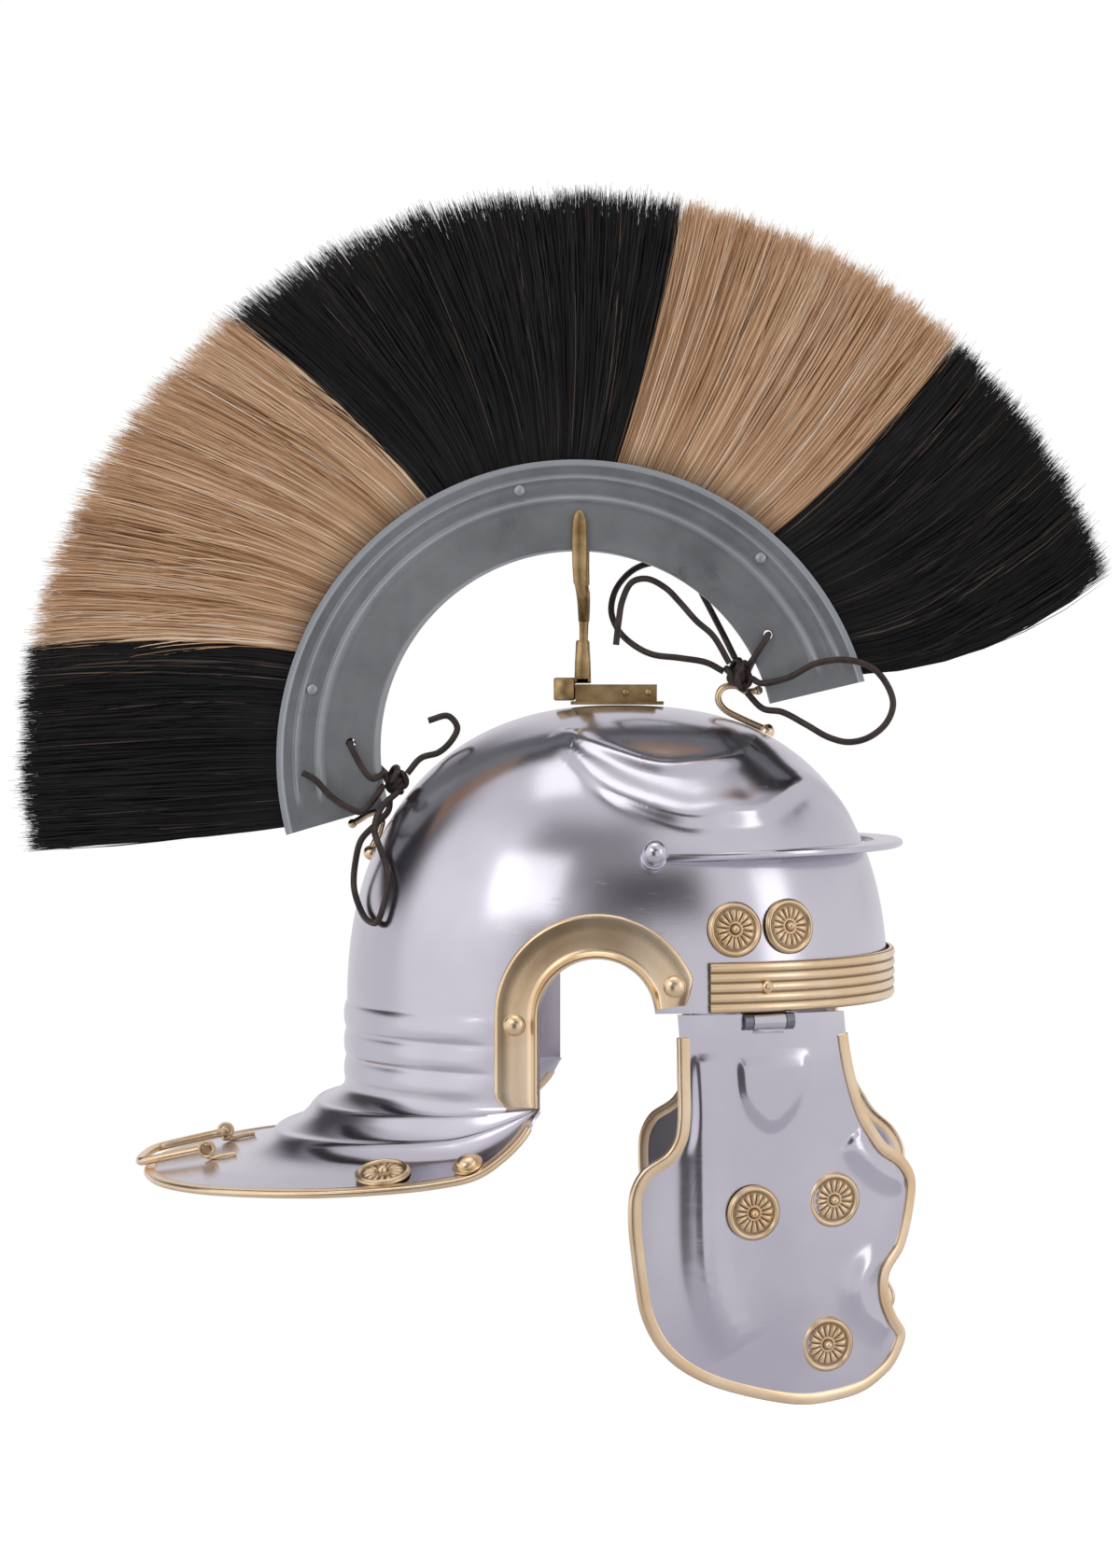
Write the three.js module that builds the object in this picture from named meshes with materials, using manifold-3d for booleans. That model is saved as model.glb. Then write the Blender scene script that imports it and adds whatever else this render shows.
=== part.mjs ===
// Roman legionary helmet with a front-to-back crest of hair, in millimetres.
// +X is the brow, +Y the wearer's left and +Z up. The origin is where the head sits,
// on the middle plane at the height of the brow rim.
import * as THREE from 'three';
import { mergeVertices } from 'three/addons/utils/BufferGeometryUtils.js';
import Module from 'manifold-3d';

const wasm = await Module();
wasm.setup();

// Clearances and sheet
const GAP = 0.35;
const STEEL = 1.2;
const BRASS_SHEET = 1.2;
const TRIM_SHEET = 0.6;

// Bowl
const BOWL_LENGTH = 237;
const BOWL_WIDTH = 200;
const BOWL_HEIGHT = 131;
const BOWL_MIDDLE_X = -1.5;
const RIM_Z = 5;
const NAPE_DROP = 38;
const PLAN_POWER = 2.2;
const CROWN_POWER = 2.4;
const CROWN_POWER_SHIFT = 0.1;
const BOWL_COLUMNS = 48;
const HOLLOW_COLUMNS = 24;

// Ear openings and their guards
const EAR_X = -7;
const EAR_Z = 3.5;
const EAR_RADIUS = 24;
const EAR_GUARD_BAND = 18.5;
const EAR_LIP_HEIGHT = 4;

// Brow band
const BAND_HEIGHT = 21;
const BAND_RIBS = 5;
const BAND_BODY = 1.4;
const BAND_RIB = 0.9;

// Brow bar
const BAR_Z = 70;
const BAR_THICK = 3;
const BAR_REACH = 16;
const BAR_SAG = 2.5;
const BAR_END_X = 20;
const BAR_RIVET_RADIUS = 5.2;

// Neck guard
const GUARD_LENGTH = 89;
const GUARD_FLARE = 19;
const GUARD_DROP = 37;

// Cheek pieces and their hinges
const HINGE_AHEAD = 130 / 237;
const HINGE_X = BOWL_MIDDLE_X + HINGE_AHEAD * BOWL_LENGTH / 2;
const HINGE_Z = 1;
const HINGE_TURN = 20;
const CHEEK_LEAN = 2.5;
const CHEEK_CURVE = 200;
const CHEEK_DROP = 166.5;
const CHEEK_WIDTH = 130;
const CHEEK_RISE = 3.1;
const KNUCKLE_RADIUS = 3.5;
const PIN_RADIUS = 1.5;
const KNUCKLE_LENGTH = 14;
const HINGE_LENGTH = 22;
const TRIM_WIDTH = 5;

// Crest
const CREST_X = -19.7;
const CREST_SINK = 19.5;
const CREST_Z = BOWL_HEIGHT - CREST_SINK;
const BOX_INNER = 87.3;
const BOX_DEPTH = 43;
const BOX_TOP_LOSS = 4;
const BOX_WIDTH = 28;
const BOX_SHEET = 1;
const BOX_FRONT_ANGLE = 13.5;
const BOX_REAR_ANGLE = 196.4;
const HAIR_RADIUS = 243;
const HAIR_HALF_THICK = 24;

// Crest carrier
const SLIDE_LENGTH = 35.5;
const SLIDE_WIDTH = 12;
const SLIDE_HEIGHT = 7.4;
const FORK_X = -16.2;
const FORK_HEIGHT = 87;
const PRONG_WIDTH = 6.6;
const PRONG_THICK = 2;

// Small fittings
const ROSETTE_RADIUS = 11.6;
const WIRE_RADIUS = 1.5;
const HANDLE_WIRE = 1.9;
const HANDLE_HALF = 27;
const HANDLE_LENGTH = 31;
const LACE_RADIUS = 1.4;

// Finishes
const finish = (color, roughness, metalness) => ({ color, roughness, metalness });
const POLISHED_STEEL = finish(0xc2bcc8, 0.22, 1);
const BRASS = finish(0xc9a36c, 0.3, 1);
const OLD_BRASS = finish(0x86683c, 0.45, 1);
const SHEET_STEEL = finish(0x8b9298, 0.5, 0.9);
const BLACK_HAIR = finish(0x121214, 0.7, 0);
const TAN_HAIR = finish(0xc79c6c, 0.7, 0);
const LEATHER = finish(0x3a2d29, 0.6, 0);

const radians = THREE.MathUtils.degToRad;
const vector = (x, y, z) => new THREE.Vector3(x, y, z);
const helmet = new THREE.Group();

function addMesh(name, geometry, look, parent = helmet) {
  const mesh = new THREE.Mesh(geometry, new THREE.MeshStandardMaterial(look));
  mesh.name = name;
  parent.add(mesh);
  return mesh;
}

// Closed bodies and booleans

function bodyFrom(points, triangles) {
  let volume = 0;
  for (const [a, b, c] of triangles) {
    volume += points[a].dot(points[b].clone().cross(points[c]));
  }
  const facing = volume > 0 ? triangles : triangles.map(([a, b, c]) => [a, c, b]);
  const geometry = new THREE.BufferGeometry();
  geometry.setAttribute('position',
    new THREE.Float32BufferAttribute(points.flatMap((p) => p.toArray()), 3));
  geometry.setIndex(facing.flat());
  return geometry;
}

function toSolid(geometry) {
  const bare = geometry.clone();
  bare.deleteAttribute('normal');
  bare.deleteAttribute('uv');
  const merged = mergeVertices(bare, 1e-3);
  return new wasm.Manifold(new wasm.Mesh({
    numProp: 3,
    vertProperties: new Float32Array(merged.attributes.position.array),
    triVerts: new Uint32Array(merged.index.array),
  }));
}

function toGeometry(solid) {
  const mesh = solid.getMesh();
  const geometry = new THREE.BufferGeometry();
  geometry.setAttribute('position', new THREE.BufferAttribute(mesh.vertProperties, 3));
  geometry.setIndex(new THREE.BufferAttribute(mesh.triVerts, 1));
  return geometry;
}

const join = (first, ...rest) => toGeometry(
  rest.reduce((sum, geometry) => sum.add(toSolid(geometry)), toSolid(first)));
const cut = (first, ...rest) => toGeometry(
  rest.reduce((left, geometry) => left.subtract(toSolid(geometry)), toSolid(first)));

// A body through rings of points, each ring a copy of one outline, capped at both ends.
function loft(rings, outline) {
  const size = rings[0].length;
  const points = rings.flat();
  const triangles = [];
  for (let i = 0; i < rings.length - 1; i += 1) {
    for (let j = 0; j < size; j += 1) {
      const a = i * size + j;
      const b = i * size + (j + 1) % size;
      triangles.push([a, b, a + size], [b, b + size, a + size]);
    }
  }
  const cap = THREE.ShapeUtils.triangulateShape(outline, []);
  const last = (rings.length - 1) * size;
  const clockwise = THREE.ShapeUtils.isClockWise(outline);
  for (const [a, b, c] of cap) {
    const [p, q] = clockwise ? [b, c] : [c, b];
    triangles.push([a, p, q], [a + last, q + last, p + last]);
  }
  return bodyFrom(points, triangles);
}

// A plate between two grids of points, one for each face.
function plate(front, back, columns, rows) {
  const points = [];
  for (const face of [front, back]) {
    for (let i = 0; i <= columns; i += 1) {
      for (let j = 0; j <= rows; j += 1) points.push(face(i, j));
    }
  }
  const offset = (columns + 1) * (rows + 1);
  const at = (i, j) => i * (rows + 1) + j;
  const triangles = [];
  const quad = (a, b, c, d) => triangles.push([a, b, c], [a, c, d]);
  for (let i = 0; i < columns; i += 1) {
    for (let j = 0; j < rows; j += 1) {
      quad(at(i, j), at(i + 1, j), at(i + 1, j + 1), at(i, j + 1));
      quad(at(i, j) + offset, at(i, j + 1) + offset, at(i + 1, j + 1) + offset, at(i + 1, j) + offset);
    }
    quad(at(i, 0), at(i, 0) + offset, at(i + 1, 0) + offset, at(i + 1, 0));
    quad(at(i, rows), at(i + 1, rows), at(i + 1, rows) + offset, at(i, rows) + offset);
  }
  for (let j = 0; j < rows; j += 1) {
    quad(at(0, j), at(0, j + 1), at(0, j + 1) + offset, at(0, j) + offset);
    quad(at(columns, j), at(columns, j) + offset, at(columns, j + 1) + offset, at(columns, j + 1));
  }
  return bodyFrom(points, triangles);
}

// A round wire through points, with a given number of sides and steps.
function wire(points, radius, sides, steps) {
  const outline = new THREE.Shape();
  for (let k = 0; k < sides; k += 1) {
    const turn = 2 * Math.PI * k / sides;
    const [x, y] = [radius * Math.cos(turn), radius * Math.sin(turn)];
    if (k === 0) outline.moveTo(x, y);
    else outline.lineTo(x, y);
  }
  const path = new THREE.CatmullRomCurve3(points.map((p) => vector(...p)), false, 'centripetal');
  return new THREE.ExtrudeGeometry(outline, { steps, extrudePath: path, bevelEnabled: false });
}

// A box given by its two corners.
function block(low, high) {
  const size = high.map((value, k) => value - low[k]);
  return new THREE.BoxGeometry(...size)
    .translate(...high.map((value, k) => (value + low[k]) / 2));
}

// A straight rod along Y from y0 to y1.
const rodAlongY = (radius, x, z, y0, y1, sides = 12) =>
  new THREE.CylinderGeometry(radius, radius, y1 - y0, sides).translate(x, (y0 + y1) / 2, z);

// Turns a geometry made along +Z onto a point with a normal.
function seat(geometry, point, normal) {
  const turn = new THREE.Quaternion().setFromUnitVectors(vector(0, 0, 1), normal.clone().normalize());
  return geometry.applyQuaternion(turn).translate(point.x, point.y, point.z);
}

const lathe = (profile, sides) => new THREE.LatheGeometry(
  profile.map(([r, z]) => new THREE.Vector2(r, z)), sides).rotateX(Math.PI / 2);

const dome = (radius, height, sides = 8) => lathe(
  [[0, 0], [radius, 0], [0.78 * radius, 0.65 * height], [0, height]], sides);

// Bowl surface as a field, negative inside, its power easing from nape to brow.

function bowlPlanPower(share) {
  return CROWN_POWER + CROWN_POWER_SHIFT * share;
}

function bowlField(x, y, z) {
  const u = (x - BOWL_MIDDLE_X) / (BOWL_LENGTH / 2);
  const v = Math.abs(y) / (BOWL_WIDTH / 2);
  const reach = (Math.abs(u) ** PLAN_POWER + v ** PLAN_POWER) ** (1 / PLAN_POWER);
  const power = bowlPlanPower(u / Math.max(reach, 1e-6));
  return reach ** power + (Math.max(z, 0) / BOWL_HEIGHT) ** power - 1;
}

function bowlNormal(p) {
  const step = 0.01;
  const slope = (dx, dy, dz) => bowlField(p.x + dx, p.y + dy, p.z + dz)
    - bowlField(p.x - dx, p.y - dy, p.z - dz);
  return vector(slope(step, 0, 0), slope(0, step, 0), slope(0, 0, step)).normalize();
}

// Walks out from the middle along a direction until the surface is met.
function bowlAlong(start, direction) {
  let near = 0;
  let far = BOWL_LENGTH;
  for (let k = 0; k < 40; k += 1) {
    const half = (near + far) / 2;
    const p = start.clone().addScaledVector(direction, half);
    if (bowlField(p.x, p.y, p.z) < 0) near = half;
    else far = half;
  }
  return start.clone().addScaledVector(direction, near);
}

const onBowl = (p, lift) => p.clone().addScaledVector(bowlNormal(p), lift);
const bowlSide = (x, z, side, lift = 0) => onBowl(bowlAlong(vector(x, 0, z), vector(0, side, 0)), lift);
const bowlTop = (x, y, lift = 0) => onBowl(bowlAlong(vector(x, y, 0), vector(0, 0, 1)), lift);

// Point of the wall at a plan angle from the brow and a height.
function bowlWall(angle, z, lift = 0) {
  const share = (value) => Math.sign(value) * Math.abs(value) ** (2 / PLAN_POWER);
  const [u, v] = [share(Math.cos(angle)), share(Math.sin(angle))];
  const power = bowlPlanPower(u);
  const height = Math.min(Math.max(z, 0) / BOWL_HEIGHT, 1);
  const inset = (1 - height ** power) ** (1 / power);
  const p = vector(BOWL_MIDDLE_X + inset * u * BOWL_LENGTH / 2, inset * v * BOWL_WIDTH / 2, z);
  return lift === 0 ? p : onBowl(p, lift);
}

// Heights of the rings: nape ribs first, then the crown at even turns.
const RIB_TABLE = [
  { down: 0.02, high: 0 }, { down: 0.10, high: 1 }, { down: 0.17, high: 0 },
  { down: 0.33, high: 0 }, { down: 0.41, high: 1 }, { down: 0.48, high: 0 },
  { down: 0.64, high: 0 }, { down: 0.72, high: 1 }, { down: 0.80, high: 0 },
  { down: 1.00, high: 0.4 },
];
const RIB_HEIGHT = 1.5;

function bowlBody(columns, crownRings, lift, bottom, ribs) {
  const angles = Array.from({ length: columns }, (_, i) => 2 * Math.PI * i / columns);
  const rings = [];
  if (ribs) {
    for (const { down, high } of [...RIB_TABLE].reverse()) {
      rings.push(angles.map((angle) => {
        const behind = THREE.MathUtils.smoothstep(-Math.cos(angle), 0.3, 0.55);
        return bowlWall(angle, -down * NAPE_DROP, high * RIB_HEIGHT * behind + 1e-4);
      }));
    }
  } else {
    rings.push(angles.map((angle) => bowlWall(angle, bottom, lift)));
  }
  for (let k = 1; k < crownRings; k += 1) {
    const turn = radians(90 * k / crownRings);
    const z = BOWL_HEIGHT * Math.sin(turn) ** (2 / CROWN_POWER);
    rings.push(angles.map((angle) => bowlWall(angle, z, lift)));
  }
  const points = rings.flat();
  const crown = points.push(vector(BOWL_MIDDLE_X, 0, BOWL_HEIGHT + lift)) - 1;
  const foot = points.push(vector(BOWL_MIDDLE_X, 0, rings[0][0].z)) - 1;
  const triangles = [];
  for (let i = 0; i < columns; i += 1) {
    const next = (i + 1) % columns;
    for (let k = 0; k < rings.length - 1; k += 1) {
      const row = k * columns;
      triangles.push([row + i, row + next, row + columns + i],
        [row + next, row + columns + next, row + columns + i]);
    }
    const top = (rings.length - 1) * columns;
    triangles.push([top + i, top + next, crown], [next, i, foot]);
  }
  return bodyFrom(points, triangles);
}

// A pressed ridge that follows the bowl, tapering to both ends.
function pressedRidge(points, width, height, normalAt) {
  const count = points.length - 1;
  const rings = points.map((p, k) => {
    const along = points[Math.min(k + 1, count)].clone().sub(points[Math.max(k - 1, 0)]).normalize();
    const normal = normalAt(p);
    const across = along.cross(normal).normalize();
    const swell = 0.25 + 0.75 * Math.sin(Math.PI * k / count) ** 0.6;
    const corner = (a, n) => p.clone().addScaledVector(across, a * width * swell)
      .addScaledVector(normal, n);
    return [corner(-0.5, -0.5 * STEEL), corner(-0.16, height * swell),
      corner(0.16, height * swell), corner(0.5, -0.5 * STEEL)];
  });
  const outline = [[-2, 0], [-1, 1], [1, 1], [2, 0]].map(([x, y]) => new THREE.Vector2(x, y));
  return loft(rings, outline);
}

// Pressed brows, one side: places as shares of the bowl's half length and half width.
const BROWS = [
  {
    width: 9,
    height: 2.2,
    rows: [
      { ahead: -0.20, aside: 0.43 }, { ahead: -0.06, aside: 0.57 }, { ahead: 0.10, aside: 0.66 },
      { ahead: 0.26, aside: 0.66 }, { ahead: 0.41, aside: 0.61 }, { ahead: 0.53, aside: 0.42 },
    ],
  },
  {
    width: 11,
    height: 2.6,
    rows: [
      { ahead: -0.19, aside: 0.50 }, { ahead: -0.08, aside: 0.68 }, { ahead: 0.06, aside: 0.77 },
      { ahead: 0.22, aside: 0.81 }, { ahead: 0.37, aside: 0.79 }, { ahead: 0.49, aside: 0.71 },
      { ahead: 0.58, aside: 0.58 }, { ahead: 0.68, aside: 0.38 }, { ahead: 0.77, aside: 0.24 },
      { ahead: 0.87, aside: 0.08 },
    ],
  },
];

function browRidges() {
  const ridges = [];
  for (const side of [-1, 1]) {
    for (const { width, height, rows } of BROWS) {
      const points = rows.map(({ ahead, aside }) => bowlTop(
        BOWL_MIDDLE_X + ahead * BOWL_LENGTH / 2, side * aside * BOWL_WIDTH / 2));
      ridges.push(pressedRidge(points, width, height, bowlNormal));
    }
  }
  return ridges;
}

// Neck guard: its edge from the right corner round to the middle, as shares of the guard's
// length, half width and drop.
const GUARD_EDGE = [
  { back: 0.00, aside: 0.872, drop: 0.00 }, { back: 0.03, aside: 0.912, drop: 0.28 },
  { back: 0.08, aside: 0.952, drop: 0.52 }, { back: 0.14, aside: 0.976, drop: 0.70 },
  { back: 0.24, aside: 0.992, drop: 0.80 }, { back: 0.37, aside: 1.000, drop: 0.86 },
  { back: 0.51, aside: 0.987, drop: 0.90 }, { back: 0.66, aside: 0.936, drop: 0.92 },
  { back: 0.80, aside: 0.820, drop: 0.94 }, { back: 0.91, aside: 0.600, drop: 0.97 },
  { back: 0.98, aside: 0.300, drop: 0.99 }, { back: 1.00, aside: 0.000, drop: 1.00 },
];
const GUARD_HALF_WIDTH = BOWL_WIDTH / 2 + GUARD_FLARE;
const GUARD_FRONT_X = EAR_X - EAR_RADIUS;
const GUARD_BACK_X = BOWL_MIDDLE_X - BOWL_LENGTH / 2 - GUARD_LENGTH;
const GUARD_TOP_Z = -0.93 * NAPE_DROP;

// Half of the edge as points on the right side, then mirrored to the left.
function guardEdge() {
  const rows = GUARD_EDGE.map(({ back, aside, drop }) => vector(
    THREE.MathUtils.lerp(GUARD_FRONT_X, GUARD_BACK_X, back),
    -aside * GUARD_HALF_WIDTH, GUARD_TOP_Z - drop * GUARD_DROP));
  const mirrored = rows.slice(0, -1).reverse().map((p) => vector(p.x, -p.y, p.z));
  return [...rows, ...mirrored];
}

// The wall point that the guard leaves, in the direction of an edge point.
function guardRoot(index, count) {
  const corner = Math.acos(Math.sign(GUARD_FRONT_X - BOWL_MIDDLE_X)
    * Math.abs((GUARD_FRONT_X - BOWL_MIDDLE_X) / (BOWL_LENGTH / 2)) ** (PLAN_POWER / 2));
  const angle = THREE.MathUtils.lerp(-corner, corner - 2 * Math.PI, index / count);
  return bowlWall(angle, GUARD_TOP_Z, -0.5 * STEEL);
}

// Rows of the guard from wall to edge: share of the way out and of the drop, with two pressed ribs.
const GUARD_ROWS = [
  { out: 0, drop: 0, rib: 0 }, { out: 0.10, drop: 0.14, rib: 0 }, { out: 0.18, drop: 0.22, rib: 1 },
  { out: 0.27, drop: 0.46, rib: 0 }, { out: 0.33, drop: 0.52, rib: 0 },
  { out: 0.41, drop: 0.60, rib: 1 }, { out: 0.49, drop: 0.76, rib: 0 }, { out: 1, drop: 1, rib: 0 },
];
const GUARD_RIB = 2.2;

function guardPoint(edge, index, row, lift = 0) {
  const root = guardRoot(index, edge.length - 1);
  const { out, drop, rib } = GUARD_ROWS[row];
  const middle = Math.sin(Math.PI * index / (edge.length - 1));
  const p = root.clone().lerp(edge[index], out);
  p.z = THREE.MathUtils.lerp(root.z, edge[index].z, drop) + GUARD_RIB * rib * middle ** 0.5 + lift;
  return p;
}

// The free edge moved in from the trim's outer edge, and the direction out of the sheet there.
function edgeFrames(edge, normalAt) {
  return edge.map((p, k) => {
    const before = edge[Math.max(k - 1, 0)];
    const after = edge[Math.min(k + 1, edge.length - 1)];
    const along = after.clone().sub(before).normalize();
    const normal = normalAt(k);
    const inward = normal.clone().cross(along).normalize();
    return { p, normal, inward };
  });
}

// Brass edging: a channel folded over the sheet's edge.
function foldedTrim(frames, sheet, width) {
  const inner = sheet / 2 + GAP;
  const outer = inner + TRIM_SHEET;
  const profile = [[0, outer], [width, outer], [width, inner], [TRIM_SHEET, inner],
    [TRIM_SHEET, -inner], [width, -inner], [width, -outer], [0, -outer]];
  const rings = frames.map(({ p, normal, inward }) => profile.map(([depth, height]) =>
    p.clone().addScaledVector(inward, depth).addScaledVector(normal, height)));
  return loft(rings, profile.map(([x, y]) => new THREE.Vector2(x, y)));
}

const guardOutline = guardEdge();

// Outward normal of the guard's sheet along its edge, from the last two rows.
function guardNormal(index) {
  const before = guardOutline[Math.max(index - 1, 0)];
  const after = guardOutline[Math.min(index + 1, guardOutline.length - 1)];
  const along = after.clone().sub(before);
  const slope = guardOutline[index].clone().sub(guardPoint(guardOutline, index, GUARD_ROWS.length - 2));
  const normal = along.cross(slope).normalize();
  return normal.z < 0 ? normal.negate() : normal;
}

const guardFrames = edgeFrames(guardOutline, guardNormal).map((frame, k) => {
  const towardsRoot = guardRoot(k, guardOutline.length - 1).sub(frame.p);
  if (frame.inward.dot(towardsRoot) < 0) frame.inward.negate();
  return frame;
});

function neckGuard() {
  const inset = TRIM_SHEET + GAP;
  const edge = guardFrames.map(({ p, inward }) => p.clone().addScaledVector(inward, inset));
  const face = (sign) => (i, j) => {
    const p = guardPoint(edge, i, j);
    return p.addScaledVector(guardNormal(i), sign * STEEL / 2);
  };
  return plate(face(1), face(-1), edge.length - 1, GUARD_ROWS.length - 1);
}

// The side cut: two ear openings and everything below the brow rim in front of them.
function sideCut() {
  const reach = BOWL_LENGTH;
  const shape = new THREE.Shape();
  shape.moveTo(EAR_X - EAR_RADIUS, -reach);
  shape.lineTo(EAR_X - EAR_RADIUS, EAR_Z);
  const steps = 14;
  for (let k = 1; k < steps; k += 1) {
    const turn = Math.PI * (1 - k / steps);
    shape.lineTo(EAR_X + EAR_RADIUS * Math.cos(turn), EAR_Z + EAR_RADIUS * Math.sin(turn));
  }
  shape.lineTo(EAR_X + EAR_RADIUS, RIM_Z);
  shape.lineTo(reach, RIM_Z);
  shape.lineTo(reach, -reach);
  return new THREE.ExtrudeGeometry(shape, { depth: 2 * reach, bevelEnabled: false })
    .rotateX(Math.PI / 2).translate(0, reach, 0);
}

function makeBowl() {
  const outer = join(bowlBody(BOWL_COLUMNS, 10, 0, 0, true), ...browRidges());
  const hollow = bowlBody(HOLLOW_COLUMNS, 8, -STEEL, -2 * NAPE_DROP, false);
  addMesh('bowl', join(cut(outer, hollow, sideCut()), neckGuard()), POLISHED_STEEL);
}

// Brow band: ribbed brass round the front, its ends following the ear guards.
function makeBrowBand() {
  const steps = 16;
  const start = radians(72);
  const profile = [[GAP, 0], [GAP, 1], [BAND_BODY, 1]];
  for (let k = BAND_RIBS - 1; k >= 0; k -= 1) {
    profile.push([BAND_BODY + BAND_RIB, (k + 0.5) / BAND_RIBS]);
    if (k > 0) profile.push([BAND_BODY, k / BAND_RIBS]);
  }
  profile.push([BAND_BODY, 0]);
  const rings = [];
  for (let i = 0; i <= steps; i += 1) {
    const angle = THREE.MathUtils.lerp(-start, start, i / steps);
    const base = bowlWall(angle, RIM_Z);
    const normal = bowlNormal(base).setZ(0).normalize();
    rings.push(profile.map(([out, up]) => base.clone().addScaledVector(normal, out + GAP)
      .setZ(RIM_Z + up * BAND_HEIGHT)));
  }
  const band = loft(rings, profile.map(([x, y]) => new THREE.Vector2(x, y)));
  const guardRadius = EAR_RADIUS + EAR_GUARD_BAND + 2 * GAP;
  const clear = rodAlongY(guardRadius, EAR_X, EAR_Z, -BOWL_WIDTH, BOWL_WIDTH, 40);
  const tail = block([-BOWL_LENGTH, -BOWL_WIDTH, -BAND_HEIGHT],
    [EAR_X + 0.86 * guardRadius, BOWL_WIDTH, RIM_Z + 2 * BAND_HEIGHT]);
  addMesh('brow_band', cut(band, clear, tail), BRASS);
  for (const [side, name] of [[-1, 'right'], [1, 'left']]) {
    const p = bowlSide(HINGE_X - 1.5, RIM_Z + 0.5 * BAND_HEIGHT, side, 2 * GAP + BAND_BODY + BAND_RIB + GAP);
    addMesh(`brow_band_pin_${name}`, seat(dome(2.6, 2), p, bowlNormal(p)), BRASS);
  }
}

// Ear guards: a lipped brass plate round each ear opening.
function earGuardStations() {
  const stations = [];
  const foot = -0.9 * NAPE_DROP;
  const outer = EAR_RADIUS + EAR_GUARD_BAND;
  const chamfer = 0.2 * EAR_GUARD_BAND;
  const straight = (z, width) => ({
    inner: [EAR_X - EAR_RADIUS, z], outer: [EAR_X - EAR_RADIUS - width, z],
  });
  stations.push(straight(foot, EAR_GUARD_BAND - chamfer), straight(foot + chamfer, EAR_GUARD_BAND));
  stations.push(straight((foot + EAR_Z) / 2, EAR_GUARD_BAND));
  const steps = 12;
  const end = 8;
  for (let k = 0; k <= steps; k += 1) {
    const turn = radians(THREE.MathUtils.lerp(180, end, k / steps));
    const reach = k === steps ? outer - 1.5 * chamfer : outer;
    const point = (radius) => [EAR_X + radius * Math.cos(turn), EAR_Z + radius * Math.sin(turn)];
    stations.push({ inner: point(EAR_RADIUS), outer: point(reach) });
  }
  return stations;
}

function makeEarGuards() {
  const lift = 2 * GAP;
  const profile = [[0.02, 0], [0.02, EAR_LIP_HEIGHT], [0.09, EAR_LIP_HEIGHT], [0.16, BRASS_SHEET],
    [0.55, BRASS_SHEET], [1, BRASS_SHEET], [1, 0], [0.55, 0]];
  for (const [side, name] of [[-1, 'right'], [1, 'left']]) {
    const rings = earGuardStations().map(({ inner, outer }) => profile.map(([across, up]) => bowlSide(
      THREE.MathUtils.lerp(inner[0], outer[0], across),
      THREE.MathUtils.lerp(inner[1], outer[1], across), side, lift + up)));
    addMesh(`ear_guard_${name}`, loft(rings, profile.map(([x, y]) => new THREE.Vector2(x, y))), BRASS);
    const middle = EAR_RADIUS + 0.55 * EAR_GUARD_BAND;
    const places = { front: 22, rear: 186 };
    for (const [place, turn] of Object.entries(places)) {
      const x = EAR_X + middle * Math.cos(radians(turn));
      const z = EAR_Z + middle * Math.sin(radians(turn));
      const p = bowlSide(x, z, side, lift + BRASS_SHEET + GAP);
      addMesh(`ear_rivet_${place}_${name}`, seat(dome(4.4, 3.4), p, bowlNormal(p)), BRASS);
    }
  }
}

// Brow bar: a flat crescent standing out from the brow, with tabs under ball rivets.
function makeBrowBar() {
  const steps = 16;
  const inset = bowlWall(0, BAR_Z).x - BOWL_MIDDLE_X;
  const endAngle = Math.acos(((BAR_END_X - BOWL_MIDDLE_X) / inset) ** (PLAN_POWER / 2));
  const point = (i, outward, z) => {
    const share = 2 * i / steps - 1;
    const base = bowlWall(share * endAngle, BAR_Z - BAR_SAG);
    const normal = bowlNormal(base).setZ(0).normalize();
    const reach = THREE.MathUtils.lerp(BAR_REACH, 2, Math.abs(share) ** 2.2);
    const stand = THREE.MathUtils.lerp(BROWS[1].height + 2 * GAP, 2 * GAP, Math.abs(share));
    return base.addScaledVector(normal, outward ? reach : stand).setZ(z);
  };
  const corners = [[0, 0], [1, 0], [1, 1], [0, 1]];
  const rings = [];
  for (let i = 0; i <= steps; i += 1) {
    const sag = BAR_SAG * Math.abs(2 * i / steps - 1) ** 2;
    rings.push(corners.map(([outward, up]) => point(i, outward, BAR_Z - sag + up * BAR_THICK)));
  }
  const outline = corners.map(([x, y]) => new THREE.Vector2(x, y));
  const tabs = [];
  for (const [side, name] of [[-1, 'right'], [1, 'left']]) {
    const surface = bowlSide(BAR_END_X - 0.75 * BAR_RIVET_RADIUS, BAR_Z - 1, side, 2 * GAP);
    const normal = bowlNormal(surface);
    tabs.push(seat(lathe([[0, 0], [BAR_RIVET_RADIUS, 0], [BAR_RIVET_RADIUS, 1.6], [0, 1.6]], 10),
      surface, normal));
    const ball = new THREE.SphereGeometry(BAR_RIVET_RADIUS, 8, 5);
    const centre = surface.clone().addScaledVector(normal, 1.6 + GAP + BAR_RIVET_RADIUS);
    addMesh(`brow_bar_rivet_${name}`, ball.rotateX(Math.PI / 2).translate(...centre.toArray()),
      POLISHED_STEEL);
  }
  addMesh('brow_bar', join(loft(rings, outline), ...tabs), POLISHED_STEEL);
}

// Stamped rosette: raised rim, petal ring and centre stud.
const rosette = () => lathe([[0, 0], [ROSETTE_RADIUS, 0], [0.92 * ROSETTE_RADIUS, 1.8],
  [0.78 * ROSETTE_RADIUS, 1.1], [0.26 * ROSETTE_RADIUS, 1.3], [0, 3.8]], 10);

const BOWL_ROSETTES = [
  { name: 'rear', ahead: 0.43, up: 0.30 }, { name: 'front', ahead: 0.62, up: 0.305 },
];

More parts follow.
